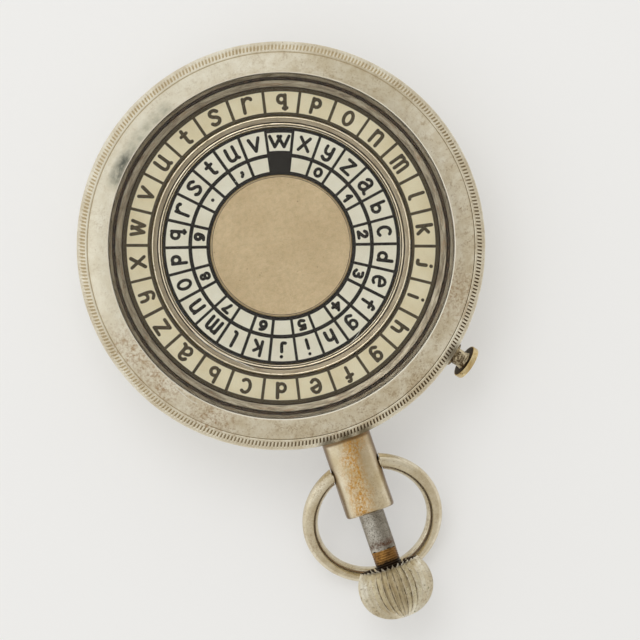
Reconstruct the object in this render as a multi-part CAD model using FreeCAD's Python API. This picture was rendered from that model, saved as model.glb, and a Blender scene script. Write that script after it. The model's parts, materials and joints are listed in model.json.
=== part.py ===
import FreeCAD, Part
import math
import os

# Pocket cipher device in a watch case, lying on its back.
# Millimetres. +Z points up through the glass, the origin is where the case axis meets the
# flat resting face of the back, and the pendant with the crown points along -Y.

# ---------------------------------------------------------------- driving dimensions
# back cover
back_h = 3.0              # rest face to the joint with the case band
back_t = 0.8              # floor thickness
rest_inset = 6.5          # flat resting face ends this far inside the band
back_lip_out = 0.7        # lip stands out from the band
back_lip_h = 0.7
back_shoulder = 0.35      # lip stands out from the domed skin by this
# case band
band_r = 25.0             # outer radius at the two joints
band_bulge = 0.35         # the middle stands out by this
band_wall = 1.6
band_h = 7.8              # joint to joint
neck_wall = 0.8           # necks that carry the bezel and the back
neck_h = 0.9
plate_ledge_w = 1.4       # ledge that the main plate is screwed against
ledge_t = 0.6
seat_ledge_w = 1.1        # ledge that carries the ring seat
seat_drop = 0.3           # ledge below the underside of the gear ring
seat_shelf_t = 0.5        # shelf of the ring seat that the gear ring runs on
# bezel and glass
bezel_out = 1.05          # plain rim under the coin-edge stands out from the band
bezel_lip_h = 0.5
knurl_slope_h = 0.75      # sloping coin-edge
knurl_rim = 0.27          # plain rim beyond the coin-edge
knurl_run = 0.78          # coin-edge, seen from above
knurl_depth = 0.16
knurl_count = 349
bead_r = 0.12
bead_w = 0.4              # bead and its groove, beside the smooth slope
bezel_in = 1.4            # opening reaches inside the band by this
bezel_rise = 1.3          # smooth slope, from its outer end to the crest
bezel_edge = 0.25         # narrow bright edge beside the glass
bezel_under = 0.2         # underside of the lip rises by this towards its edge
bezel_under_w = 0.75
bezel_round = 0.12        # rounding of the plain rim
bezel_crown = 0.2         # slope stands this far above a straight cone
glass_t = 1.05
glass_step_t = 0.6        # edge of the glass under the bezel
glass_over = 0.6          # glass reaches under the bezel by this
glass_dome = 0.35
glass_chamfer = 0.15
# letter rings
seat_wall = 2.0           # wall of the ring seat around the rim of the gear ring
ring_overlap = 0.9        # gear ring on the shelf of its seat
outer_face_w = 3.5        # printed outer ring
ring_body_t = 0.7
face_t = 0.4
divider_w = 1.3
divider_base_t = 0.8
divider_bead_h = 0.4
divider_bead_r = 0.12
divider_groove_d = 0.1
divider_ridge_w = 0.34
divider_ridge_h = 0.26
inner_face_w = 6.05       # printed inner ring
centre_disc_t = 0.45
centre_disc_bevel = 0.12
disc_plate_t = 0.5
rehaut_w = 3.15           # ring between the glass and the letters, from the band
rehaut_h = 1.95
rehaut_shelf_w = 0.8      # low shelf beside the outer letters
rehaut_shelf_h = 0.45
rehaut_lip_h = 0.18       # raised edge of the shelf
rehaut_groove_w = 0.4
rehaut_wall_h = 0.6       # rough wall beyond the groove
rehaut_bevel_h = 0.25
rehaut_corner = 0.05
# pendant, stem and crown
axis_drop = 3.3           # pendant's axis below the joint with the bezel
tube_r = 3.18
tube_len = 10.98          # from the band
tube_round = 0.45         # rounding at the mouth
tube_spigot_r = 2.3
stem_r = 1.65
stem_bearing_len = 3.48
steel_out = 5.09          # steel shaft seen beyond the pendant
brass_out = 2.02          # brass end seen between the steel and the crown
crown_len = 7.01
crown_r = 4.83
crown_cavity_r = 3.25
crown_cavity_depth = 2.2
crown_wall = 0.35
crown_flutes = 32
crown_flute_depth = 0.42
stem_hold = 2.6           # brass end inside the crown's boss
press_travel = 6.5
collar_r = 1.85           # stop collar on the shaft
collar_w = 0.7
shank = 1.3               # square shank across flats
stem_tip_r = 0.6
stem_tip_len = 0.6
# bow
bow_wire_r = 1.0
bow_r = 8.08              # centre line of the wire
bow_reach = 7.23          # pivot to the centre of the ring
bow_out = 5.3             # pivot from the band
bow_pin_r = 0.75
bow_pin_in = 0.85         # pin inside the tube's wall
bow_rest_gap = 0.03       # wire above the table
# gear that the crown turns
gear_module = 0.4
pinion_teeth = 10
gear_rim = 1.5            # plain rim of the gear ring outside its teeth
tooth_root_in = 0.1       # teeth sunk into the ring
gear_addendum = 0.32
gear_dedendum = 0.5
gear_fill = 0.42          # tooth share of the pitch
gear_face = 1.8
pressure_angle = 20.0
journal_r = 1.3
journal_step = 0.35
bearing_len = 1.6
bearing_half = 1.8
journal_len = 1.8
pinion_shoulder = 0.25
# main plate and centre
plate_t = 1.3
plate_screw_r = 0.45
plate_screw_head_r = 0.6
plate_screw_edge = 0.6    # screw centre from the rim of the plate
screw_head_h = 0.55
arbor_r = 1.2
hub_r = 2.2
hub_flange_r = 4.2
hub_flange_t = 0.4
washer_t = 0.15
washer_r = 2.8
arbor_screw_r = 0.5
arbor_head_r = 1.9
arbor_head_h = 0.4
arbor_screw_len = 2.0
arbor_slot_w = 0.4
pillar_r = 0.6
# step wheel and levers
wheel_r = 7.0
wheel_t = 0.8
wheel_teeth = 26
tooth_depth = 0.6
wheel_drop = 3.2          # wheel underside below the pendant's axis
lever_gap = 0.2           # between the wheel's top and the levers
lever_t = 0.8
lever_w = 2.2
lever_pivot_x = -12.0
shank_out = 2.19          # shaft seen inside the inner bearing
pad_r = 0.7
stud_r = 0.9
stud_base_r = 1.6
stud_head_r = 1.5
stud_head_t = 0.4
stud_root_r = 0.6
boss_step = 0.2           # boss around a stud is wider than its base
pawl_arm = 3.4            # lever pivot to pawl pin
pawl_pin_r = 0.5
pawl_w = 1.3
pawl_nose = 0.9
pawl_tip_gap = 0.25       # pawl tip beyond the tooth tips
pawl_tip_y = -0.9
release_x = 14.5
release_y = -5.5
release_hook_x = 7.85
release_hook_y = -0.6
hook_pin_r = 0.3
jumper_x = 11.5
jumper_y = 10.5
jumper_t = 0.25
jumper_angle = 10.0       # where the jumper's nose meets the wheel
jumper_tip_x = 8.35
jumper_tip_y = -1.1
nose_half = 0.32
foot_r = 1.2
foot_screw_r = 0.4
foot_screw_head_r = 0.8
lever_spring_x = -15.0
lever_spring_y = -3.6
lever_spring_end_x = -5.0
leaf_t = 0.2
leaf_edge = 0.1           # leaves are narrower than the wheel by this at each edge
pawl_foot_r = 0.42
pawl_spring_x = 2.15      # foot of the pawl's leaf, from the lever's pivot
pawl_spring_y = 1.05
pawl_spring_len = 5.0
# side button, along its own line
button_angle = 39.2       # from the pendant, towards +X
button_dip = 10.0         # its outer end points down by this
button_drop = 0.6         # below the pendant's axis where it leaves the case band
button_head_r = 2.18
button_head_t = 0.78
button_edge = 0.15        # rounding of the head
button_out = 2.78         # inner face of the head, from the band
button_shaft_r = 1.1
button_shaft_past = 0.9   # thick shaft inside the bushing
button_pin_r = 0.5
button_travel = 1.2
bushing_r = 1.45
bushing_flange_r = 1.55
button_stop = 0.3         # head still stands off the bushing when pressed
bushing_past = 0.5        # bushing inside the band
button_collar_r = 1.4
button_collar_w = 0.5
release_post_r = 0.6      # post on the release lever
post_gap = 0.3            # between the post and the bracket
button_spring_room = 0.4  # spring fully pressed
bracket_t = 0.5
bracket_half = 1.5
bracket_above = 1.1
bracket_foot_len = 2.4
# springs
return_wire_r = 0.14
return_mean_r = 1.58
return_turns = 9.5
button_wire_r = 0.12
button_mean_r = 1.28
button_turns = 2.5
# screws and cutters
foot_bite = 1.2           # screws reach into a foot by this
slot_share = 0.4          # depth of a screw slot in its head
past = 1.0                # cutters reach past what they cut
# clearances
run = 0.05                # running fit, on the radius
plate_fit = 0.2           # main plate in the band
face_gap = 0.1            # outer letters beside the ring around them
divider_gap = 0.15        # letters beside the divider ring
square_fit = 0.03
touch = 0.06              # between a pusher and what it pushes
seat_gap = 0.05

# ---------------------------------------------------------------- derived levels and radii
band_z0 = back_h
band_z1 = band_z0 + band_h
axis_z = band_z1 - axis_drop
button_z = axis_z - button_drop
band_in_r = band_r - band_wall
neck_r = band_in_r + neck_wall
rest_r = band_r - rest_inset
back_lip_r = band_r + back_lip_out
bezel_lip_r = band_r + bezel_out
knurl_low_r = bezel_lip_r - knurl_rim
knurl_top_r = knurl_low_r - knurl_run
bezel_slope_r = knurl_top_r - bead_w
bezel_open_r = band_in_r - bezel_in
plate_r = band_in_r - plate_fit
ring_flange_r = band_in_r - seat_wall
rehaut_in_r = band_in_r - rehaut_w
outer_face_r = rehaut_in_r - face_gap
outer_face_in_r = outer_face_r - outer_face_w
divider_r = outer_face_in_r - divider_gap
divider_in_r = divider_r - divider_w
inner_face_r = divider_in_r - divider_gap
centre_disc_r = inner_face_r - inner_face_w
tube_end = band_r + tube_len
steel_end = tube_end + steel_out
crown_rim = steel_end + brass_out
bow_pivot = band_r + bow_out
ring_teeth = round(2 * (ring_flange_r - gear_rim - gear_face / 2) / gear_module)
pitch_r = gear_module * pinion_teeth / 2
ring_pitch_r = gear_module * ring_teeth / 2
mesh_z = axis_z + pitch_r
gear_z0 = mesh_z + gear_dedendum
seat_z0 = gear_z0 - seat_drop
gear_z1 = gear_z0 + ring_body_t
face_z1 = gear_z1 + face_t
wheel_z0 = axis_z - wheel_drop
wheel_z1 = wheel_z0 + wheel_t
plate_z1 = wheel_z0 - 2 * washer_t - 2 * seat_gap
plate_z0 = plate_z1 - plate_t
lever_z0 = wheel_z1 + lever_gap
lever_z1 = lever_z0 + lever_t
disc_z0 = gear_z1 - disc_plate_t
rehaut_z0 = gear_z1 + 2 * seat_gap
glass_z0 = rehaut_z0 + rehaut_h
glass_r = bezel_open_r + glass_over
tooth_pitch = math.pi * gear_module
lever_half_angle = math.asin(press_travel / 2 / math.hypot(lever_pivot_x, press_travel / 2))
bow_tilt = math.degrees(math.asin((axis_z - bow_wire_r - bow_rest_gap) / (bow_reach + bow_r)))
pillar_at = (divider_r + divider_in_r) / 2
outer_bearing_at = ring_pitch_r + gear_face / 2 + pinion_shoulder + seat_gap
inner_bearing_at = ring_pitch_r - gear_face / 2 - pinion_shoulder - seat_gap - bearing_len
tip_at = inner_bearing_at - shank_out
pad_y = -tip_at + pad_r + touch
lever_pivot_y = pad_y + press_travel / 2
collar_at = tube_end - stem_bearing_len - seat_gap - collar_w
button_face = band_r + button_out
bushing_in = band_in_r - bushing_past
button_shaft_in = bushing_in - button_shaft_past
bushing_end = button_face - button_travel - button_stop
bracket_at = button_shaft_in - button_travel - button_spring_room - bracket_t
release_post = bracket_at - post_gap - release_post_r
button_tip = release_post + release_post_r + touch


# ---------------------------------------------------------------- helpers
def vec(x, y, z):
    return FreeCAD.Vector(x, y, z)


def lathe(outline):
    """Solid of revolution about Z. outline is (r, z) points; three in a tuple mark an arc."""
    edges = []
    last = vec(outline[0][0], 0, outline[0][1])
    first = last
    for item in outline[1:]:
        if isinstance(item[0], tuple):
            middle = vec(item[0][0], 0, item[0][1])
            end = vec(item[1][0], 0, item[1][1])
            edges.append(Part.Arc(last, middle, end).toShape())
        else:
            end = vec(item[0], 0, item[1])
            edges.append(Part.makeLine(last, end))
        last = end
    if last.sub(first).Length > 1e-9:
        edges.append(Part.makeLine(last, first))
    face = Part.Face(Part.Wire(edges))
    solid = face.revolve(vec(0, 0, 0), vec(0, 0, 1), 360)
    return Part.makeSolid(solid.Shells[0]) if solid.ShapeType != "Solid" else solid


def rod(r, z0, z1, x=0.0, y=0.0):
    return Part.makeCylinder(r, z1 - z0, vec(x, y, z0))


def pipe(r_out, r_in, z0, z1, x=0.0, y=0.0):
    return rod(r_out, z0, z1, x, y).cut(rod(r_in, z0, z1, x, y))


def prism(points, z0, z1):
    corners = [vec(x, y, z0) for x, y in points]
    wire = Part.makePolygon(corners + [corners[0]])
    return Part.Face(wire).extrude(vec(0, 0, z1 - z0))


def link(start, end, width, z0, z1):
    """Flat bar with round ends between two points."""
    dx = end[0] - start[0]
    dy = end[1] - start[1]
    length = math.hypot(dx, dy)
    nx = -dy / length * width / 2
    ny = dx / length * width / 2
    bar = prism([(start[0] + nx, start[1] + ny), (end[0] + nx, end[1] + ny),
                 (end[0] - nx, end[1] - ny), (start[0] - nx, start[1] - ny)], z0, z1)
    ends = [rod(width / 2, z0, z1, *start), rod(width / 2, z0, z1, *end)]
    return bar.fuse(ends)


def leaf(start, end, thick, z0, z1):
    """Straight flat spring strip between two points."""
    dx = end[0] - start[0]
    dy = end[1] - start[1]
    length = math.hypot(dx, dy)
    nx = -dy / length * thick / 2
    ny = dx / length * thick / 2
    return prism([(start[0] + nx, start[1] + ny), (end[0] + nx, end[1] + ny),
                  (end[0] - nx, end[1] - ny), (start[0] - nx, start[1] - ny)], z0, z1)


def turned(shape, angle, axis=(0, 0, 1), centre=(0, 0, 0)):
    moved = shape.copy()
    moved.rotate(vec(*centre), vec(*axis), angle)
    return moved


def on_pendant(shape):
    """Lay a shape built along +Z on the pendant's axis, so that its z becomes the distance out."""
    moved = turned(shape, 90, (1, 0, 0))
    moved.translate(vec(0, 0, axis_z))
    return moved


def on_button(shape):
    """The same for the side button, whose line dips outwards and lies beside the pendant."""
    flat = turned(shape, 90, (1, 0, 0))
    dipped = turned(flat, button_dip, (1, 0, 0), (0, -band_r, 0))
    dipped.translate(vec(0, 0, button_z))
    return turned(dipped, button_angle)


def star(r_tip, r_root, count, z):
    """Closed zigzag wire with count points."""
    corners = []
    for i in range(count):
        for r, part in ((r_tip, 0.0), (r_root, 0.5)):
            angle = 2 * math.pi * (i + part) / count
            corners.append(vec(r * math.cos(angle), r * math.sin(angle), z))
    return Part.makePolygon(corners + [corners[0]])


def stack(wires):
    """Solid through wires that have the same number of corners."""
    return Part.makeLoft(wires, True, True)


def coil(mean_r, wire_r, z0, z1, turns):
    """Round wire spring along Z whose ends lie at z0 and z1."""
    length = z1 - z0 - 2 * wire_r
    helix = Part.makeHelix(length / turns, length, mean_r)
    rise = length / turns / (2 * math.pi * mean_r)
    section = Part.Wire(Part.makeCircle(wire_r, vec(mean_r, 0, 0), vec(0, 1, rise)))
    spring = Part.Wire(helix).makePipeShell([section], True, True)
    spring.translate(vec(0, 0, z0 + wire_r))
    return spring


def around(shape, angles):
    return [turned(shape, angle) for angle in angles]


def group(solids):
    return Part.makeCompound(solids)


def screw(head_r, shank_r, z_seat, z_tip, x, y):
    """Slotted cheese-head screw driven from below: the head hangs under z_seat."""
    head = rod(head_r, z_seat - screw_head_h, z_seat, x, y)
    slot_w = head_r * 0.25
    slot = Part.makeBox(2 * head_r, slot_w, screw_head_h * slot_share,
                        vec(x - head_r, y - slot_w / 2, z_seat - screw_head_h))
    return head.cut(slot).fuse(rod(shank_r, z_seat, z_tip, x, y))


# ---------------------------------------------------------------- case
def band_envelope():
    middle = (band_z0 + band_z1) / 2
    return lathe([(0, band_z0), (band_r, band_z0), ((band_r + band_bulge, middle), (band_r, band_z1)),
                  (0, band_z1)])


def make_back_cover():
    dome_r = back_lip_r - back_shoulder
    lip_z0 = back_h - back_lip_h
    wall_r = neck_r + run
    floor_z = back_h - neck_h - 2 * seat_gap
    outer_middle = (rest_r + (dome_r - rest_r) * 0.6, lip_z0 * 0.33)
    inner_middle = (rest_r + (wall_r - rest_r) * 0.6, back_t + (floor_z - back_t) * 0.36)
    return lathe([(0, 0), (rest_r, 0), (outer_middle, (dome_r, lip_z0)), (back_lip_r, lip_z0),
                  (back_lip_r, back_h), (wall_r, back_h), (wall_r, floor_z),
                  (inner_middle, (rest_r, back_t)), (0, back_t)])


def make_case_band():
    middle = (band_z0 + band_z1) / 2
    ledge_in = band_in_r - plate_ledge_w
    seat_in = band_in_r - seat_ledge_w
    ring = lathe([
        (neck_r, band_z0), (band_r, band_z0), ((band_r + band_bulge, middle), (band_r, band_z1)),
        (neck_r, band_z1), (neck_r, band_z1 + neck_h), (band_in_r, band_z1 + neck_h),
        (band_in_r, seat_z0), (seat_in, seat_z0), (seat_in, seat_z0 - ledge_t),
        (band_in_r, seat_z0 - ledge_t), (band_in_r, plate_z1 + ledge_t),
        (ledge_in, plate_z1 + ledge_t), (ledge_in, plate_z1), (band_in_r, plate_z1),
        (band_in_r, band_z0 - neck_h), (neck_r, band_z0 - neck_h)])
    ring = ring.cut(on_pendant(rod(tube_spigot_r, ledge_in - past, band_r + past)))
    ring = ring.cut(on_button(rod(bushing_r, bushing_in - past, band_r + past)))
    screw_hole = rod(plate_screw_r, plate_z1 - past, plate_z1 + ledge_t, 0, plate_screw_at)
    return ring.cut(around(screw_hole, plate_screw_angles))


def make_bezel():
    z0 = band_z1
    lip_z0 = z0 + bezel_under
    lip_z1 = lip_z0 + bezel_lip_h
    slope_z = lip_z1 + knurl_slope_h
    crest_z = slope_z + bead_r + bezel_rise
    core_gap = knurl_depth * 1.3
    bead_at = knurl_top_r - 1.5 * bead_r
    groove_r = bead_at - bead_r
    slope_mid_r = (bezel_slope_r + bezel_open_r + bezel_edge) / 2
    slope_mid_z = (slope_z + bead_r + crest_z) / 2 + bezel_crown
    core = lathe([
        (0, z0), (bezel_lip_r - bezel_under_w, z0), (bezel_lip_r - bezel_round, lip_z0),
        ((bezel_lip_r, (lip_z0 + lip_z1) / 2), (bezel_lip_r - bezel_round, lip_z1)),
        (knurl_low_r - core_gap, lip_z1), (knurl_top_r - core_gap, slope_z),
        (bead_at + bead_r, slope_z), ((bead_at, slope_z + bead_r), (groove_r, slope_z)),
        (bezel_slope_r, slope_z + bead_r),
        ((slope_mid_r, slope_mid_z), (bezel_open_r + bezel_edge, crest_z)),
        (bezel_open_r, crest_z - bead_r), (0, crest_z - bead_r)])
    edge = stack([star(knurl_low_r, knurl_low_r - knurl_depth, knurl_count, lip_z1),
                  star(knurl_top_r, knurl_top_r - knurl_depth, knurl_count, slope_z)])
    inside = lathe([
        (0, z0 - past), (neck_r + run, z0 - past), (neck_r + run, z0 + neck_h + seat_gap),
        (band_in_r, z0 + neck_h + seat_gap), (band_in_r, glass_z0), (glass_r + run, glass_z0),
        (glass_r + run, glass_z0 + glass_step_t), (bezel_open_r, glass_z0 + glass_step_t),
        (bezel_open_r, crest_z + past), (0, crest_z + past)])
    return core.fuse(edge).cut(inside)


def make_crystal():
    step_z = glass_z0 + glass_step_t
    top_z = glass_z0 + glass_t
    clear_r = bezel_open_r - run
    dome_r = clear_r - glass_chamfer
    ball_r = (dome_r ** 2 + glass_dome ** 2) / (2 * glass_dome)
    half_r = dome_r / 2
    drop = ball_r - math.sqrt(ball_r ** 2 - half_r ** 2)
    return lathe([(0, glass_z0), (glass_r, glass_z0), (glass_r, step_z), (clear_r, step_z),
                  (clear_r, top_z - glass_chamfer), (dome_r, top_z),
                  ((half_r, top_z + glass_dome - drop), (0, top_z + glass_dome))])


def make_rehaut_ring():
    outer_r = band_in_r - 2 * run
    low_z = rehaut_z0 + rehaut_shelf_h
    wall_z = low_z + rehaut_wall_h
    lip_r = rehaut_in_r + rehaut_shelf_w
    wall_r = lip_r + rehaut_groove_w
    under_r = bezel_open_r - run
    return lathe([
        (rehaut_in_r, rehaut_z0), (rehaut_in_r, low_z), (lip_r, low_z + rehaut_lip_h),
        (lip_r + rehaut_corner, low_z), (wall_r - rehaut_corner, low_z), (wall_r, wall_z),
        (under_r, wall_z + rehaut_bevel_h), (under_r, glass_z0), (outer_r, glass_z0),
        (outer_r, rehaut_z0)])


def make_ring_seat():
    outer_r = band_in_r - 2 * run
    wall_r = ring_flange_r + run
    shelf_in = ring_flange_r - ring_overlap
    shelf_z1 = gear_z0 - seat_gap
    shelf_z0 = shelf_z1 - seat_shelf_t
    inner_r = band_in_r - seat_ledge_w - 2 * run
    return lathe([
        (shelf_in, shelf_z0), (shelf_in, shelf_z1), (wall_r, shelf_z1), (wall_r, rehaut_z0),
        (outer_r, rehaut_z0), (outer_r, seat_z0), (inner_r, seat_z0), (inner_r, shelf_z0)])


# ---------------------------------------------------------------- movement plate and centre
def make_main_plate():
    plate = rod(plate_r, plate_z0, plate_z1)
    holes = [rod(arbor_r, plate_z0, plate_z1)]
    screw_hole = rod(plate_screw_r, plate_z0, plate_z1, 0, plate_screw_at)
    holes += around(screw_hole, plate_screw_angles)
    for x, y in (lever_pivot, release_pivot):
        holes.append(rod(stud_root_r, plate_z0, plate_z1, x, y))
    for at in bearing_centres:
        holes.append(rod(foot_screw_r, plate_z0, plate_z1, 0, -at))
    for x, y in foot_centres:
        holes.append(rod(foot_screw_r, plate_z0, plate_z1, x, y))
    return plate.cut(holes)


def make_plate_screws():
    one = screw(plate_screw_head_r, plate_screw_r, plate_z0, plate_z1 + ledge_t, 0, plate_screw_at)
    return group(around(one, plate_screw_angles))


def make_centre_arbor():
    post = rod(arbor_r, plate_z0, arbor_z1)
    return post.cut(rod(arbor_screw_r, arbor_z1 - arbor_screw_len, arbor_z1))


def make_arbor_screw():
    head = rod(arbor_head_r, arbor_z1, arbor_z1 + arbor_head_h)
    slot_h = arbor_head_h * slot_share
    slot = Part.makeBox(2 * arbor_head_r, arbor_slot_w, slot_h,
                        vec(-arbor_head_r, -arbor_slot_w / 2, arbor_z1 + arbor_head_h - slot_h))
    return head.cut(slot).fuse(rod(arbor_screw_r, arbor_z1 - arbor_screw_len, arbor_z1))


def make_hub_washer():
    return pipe(washer_r, arbor_r, plate_z1, plate_z1 + washer_t)


def make_disc_hub():
    bottom = plate_z1 + washer_t + seat_gap
    body = rod(hub_r, bottom, disc_z0)
    flange = rod(hub_flange_r, disc_z0 - hub_flange_t, disc_z0)
    return body.fuse(flange).cut(rod(arbor_r + run, bottom, disc_z0))


def make_inner_disc():
    plate = rod(inner_face_r, disc_z0, gear_z1)
    return plate.cut(rod(arbor_head_r + 4 * run, disc_z0, gear_z1))


def make_inner_letter_face():
    return pipe(inner_face_r, centre_disc_r + run, gear_z1, face_z1)


def make_centre_disc():
    z1 = gear_z1 + centre_disc_t
    return lathe([(0, gear_z1), (centre_disc_r, gear_z1), (centre_disc_r, z1 - centre_disc_bevel),
                  (centre_disc_r - centre_disc_bevel, z1), (0, z1)])


def make_step_wheel():
    points = []
    for i in range(wheel_teeth):
        start = math.radians(jumper_angle) + 2 * math.pi * i / wheel_teeth
        step = 2 * math.pi / wheel_teeth
        for r, part in ((wheel_r - tooth_depth, 0.0), (wheel_r, 0.34), (wheel_r, 0.66)):
            points.append((r * math.cos(start + part * step), r * math.sin(start + part * step)))
    return prism(points, wheel_z0, wheel_z1).cut(rod(hub_r, wheel_z0, wheel_z1))


def make_divider_ring():
    """Flat band with a raised bead at its outer edge and two ridges at its inner edge."""
    z0 = face_z1 - divider_base_t
    bead_in = divider_r - 2 * divider_bead_r
    bead_z = face_z1 + divider_bead_h - divider_bead_r
    ridge_r = divider_in_r + divider_ridge_w
    return lathe([
        (divider_in_r, z0), (divider_r, z0), (divider_r, bead_z),
        ((divider_r - divider_bead_r, face_z1 + divider_bead_h), (bead_in, bead_z)),
        (bead_in - divider_groove_d, face_z1), (ridge_r + divider_ridge_w / 2, face_z1),
        (ridge_r + divider_ridge_w / 3, face_z1 - divider_groove_d),
        (ridge_r + divider_ridge_w / 4, face_z1 + divider_ridge_h / 2),
        (ridge_r, face_z1 + divider_ridge_h), (ridge_r - divider_ridge_w / 4, face_z1),
        (divider_in_r + divider_ridge_w / 4, face_z1 + divider_ridge_h * 0.8),
        (divider_in_r, face_z1 + divider_ridge_h / 2)])


def make_divider_pillars():
    one = rod(pillar_r, plate_z1, face_z1 - divider_base_t, pillar_at, 0)
    return group(around(one, (60, 180, 300)))


# ---------------------------------------------------------------- outer ring and its gear
def make_ring_gear():
    body = pipe(ring_flange_r, outer_face_in_r, gear_z0, gear_z1)
    half = tooth_pitch * gear_fill / 2
    slope = math.tan(math.radians(pressure_angle))
    tip_half = half - gear_addendum * slope
    root_half = half + gear_dedendum * slope
    tip_z = mesh_z - gear_addendum
    near = ring_pitch_r - gear_face / 2
    root_z = gear_z0 + tooth_root_in
    corners = [vec(near, -tip_half, tip_z), vec(near, tip_half, tip_z),
               vec(near, root_half, root_z), vec(near, -root_half, root_z)]
    tooth = Part.Face(Part.makePolygon(corners + [corners[0]])).extrude(vec(gear_face, 0, 0))
    pitch_angle = 360 / ring_teeth
    angles = [-90 + (i + 0.5) * pitch_angle for i in range(ring_teeth)]
    return body.fuse(around(tooth, angles))


def make_outer_letter_face():
    return pipe(outer_face_r, outer_face_in_r, gear_z1, face_z1)


def make_winding_pinion():
    """Built along the pendant's axis; a tooth points up at rest, into a gap of the ring."""
    near = ring_pitch_r - gear_face / 2
    far = near + gear_face
    half = gear_fill * tooth_pitch / 2
    root = pitch_r - gear_dedendum
    tip = pitch_r + gear_addendum
    foot = root - 2 * tooth_root_in
    tooth = prism([(-half * 1.15, foot), (half * 1.15, foot), (half, pitch_r),
                   (half * 0.42, tip), (-half * 0.42, tip), (-half, pitch_r)], near, far)
    teeth = around(tooth, [360 * i / pinion_teeth for i in range(pinion_teeth)])
    body = rod(root, near, far)
    shoulder = rod(journal_r + journal_step, near - pinion_shoulder, far + pinion_shoulder)
    journals = rod(journal_r, near - pinion_shoulder - journal_len, far + pinion_shoulder + journal_len)
    gear = body.fuse(teeth).fuse([shoulder, journals])
    side = shank + 2 * square_fit
    ends = pinion_shoulder + journal_len + past
    hole = Part.makeBox(side, side, gear_face + 2 * ends, vec(-side / 2, -side / 2, near - ends))
    return on_pendant(gear.cut(hole))


def make_bearing(at):
    """Upright block on the plate with a bore for one journal of the pinion."""
    post = Part.makeBox(2 * bearing_half, bearing_len, axis_z - plate_z1,
                        vec(-bearing_half, -at - bearing_len, plate_z1))
    head = on_pendant(rod(bearing_half, at, at + bearing_len))
    block = post.fuse(head)
    block = block.cut(on_pendant(rod(journal_r + run, at - past, at + bearing_len + past)))
    return block.cut(rod(foot_screw_r, plate_z1, plate_z1 + foot_bite, 0, -at - bearing_len / 2))


def make_outer_bearing():
    return make_bearing(outer_bearing_at)


def make_inner_bearing():
    return make_bearing(inner_bearing_at)


def make_bearing_screws():
    return group([screw(foot_screw_head_r, foot_screw_r, plate_z0, plate_z1 + foot_bite, 0, -at)
                  for at in bearing_centres])


# ---------------------------------------------------------------- pendant, bow, stem and crown
def make_pendant_tube():
    body = lathe([
        (0, band_r - past), (tube_r, band_r - past), (tube_r, tube_end - tube_round),
        ((tube_r - tube_round * 0.2, tube_end - tube_round * 0.3), (tube_r - tube_round, tube_end)),
        (0, tube_end)])
    body = on_pendant(body).cut(band_envelope())
    body = body.fuse(on_pendant(rod(tube_spigot_r, band_in_r, band_r + past)))
    mouth = rod(stem_r + run, tube_end - stem_bearing_len - past, tube_end + past)
    bore = rod(collar_r + 2 * run, band_in_r - past, tube_end - stem_bearing_len)
    body = body.cut([on_pendant(mouth), on_pendant(bore)])
    hole_r = bow_pin_r + run
    depth = bow_pin_in + run
    for side in (-1, 1):
        start = vec(side * (tube_r + past), -bow_pivot, axis_z)
        body = body.cut(Part.makeCylinder(hole_r, depth + past, start, vec(-side, 0, 0)))
    return body


def make_bow():
    ring = Part.makeTorus(bow_r, bow_wire_r)
    ring.translate(vec(0, -bow_reach, 0))
    cheek = tube_r + 2 * run
    opening = Part.makeBox(2 * cheek, 2 * bow_r, 4 * bow_wire_r, vec(-cheek, -bow_reach, -2 * bow_wire_r))
    ring = ring.cut(opening)
    pin_len = bow_pin_in + 2 * run + bow_wire_r * 0.9
    for side in (-1, 1):
        start = vec(side * (tube_r - bow_pin_in), 0, 0)
        ring = ring.fuse(Part.makeCylinder(bow_pin_r, pin_len, start, vec(side, 0, 0)))
    ring.rotate(vec(0, 0, 0), vec(1, 0, 0), bow_tilt)
    ring.translate(vec(0, -bow_pivot, axis_z))
    return ring


def make_stem():
    shaft = rod(stem_r, collar_at, steel_end)
    collar = rod(collar_r, collar_at, collar_at + collar_w)
    square = Part.makeBox(shank, shank, collar_at - tip_at - stem_tip_len,
                          vec(-shank / 2, -shank / 2, tip_at + stem_tip_len))
    tip = rod(stem_tip_r, tip_at, tip_at + stem_tip_len)
    return on_pendant(shaft.fuse([collar, square, tip]))


def make_stem_end():
    return on_pendant(rod(stem_r, steel_end, crown_rim + crown_cavity_depth + stem_hold))


def make_crown():
    shape = ((0.0, 0.775), (0.09, 0.87), (0.22, 0.96), (0.40, 1.0), (0.58, 0.96), (0.72, 0.86),
             (0.84, 0.72), (0.92, 0.56), (0.97, 0.40), (1.0, 0.20))
    wires = []
    for along, wide in shape:
        tip = crown_r * wide
        root = tip - crown_flute_depth * min(1.0, wide * 1.1)
        wires.append(star(tip, root, crown_flutes, crown_rim + crown_len * along))
    knob = stack(wires)
    cavity = lathe([
        (0, crown_rim - past), (crown_cavity_r - crown_wall, crown_rim - past),
        (crown_cavity_r - crown_wall, crown_rim),
        (crown_cavity_r, crown_rim + crown_cavity_depth * 0.5),
        (crown_cavity_r, crown_rim + crown_cavity_depth), (0, crown_rim + crown_cavity_depth)])
    hole = rod(stem_r, crown_rim, crown_rim + crown_cavity_depth + stem_hold)
    return on_pendant(knob.cut([cavity, hole]))


def make_return_spring():
    seat = outer_bearing_at + bearing_len
    return on_pendant(coil(return_mean_r, return_wire_r, seat + seat_gap, collar_at - seat_gap,
                           return_turns))


# ---------------------------------------------------------------- step lever, pawl and jumper
def make_lever_studs():
    studs = []
    for x, y in (lever_pivot, release_pivot):
        studs.append(rod(stud_root_r, plate_z0, plate_z1, x, y).fuse([
            rod(stud_base_r, plate_z1, lever_z0 - seat_gap, x, y),
            rod(stud_r, lever_z0 - seat_gap, lever_z1 + 2 * seat_gap, x, y),
            rod(stud_head_r, lever_z1 + 2 * seat_gap, lever_z1 + 2 * seat_gap + stud_head_t, x, y)]))
    return group(studs)


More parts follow.
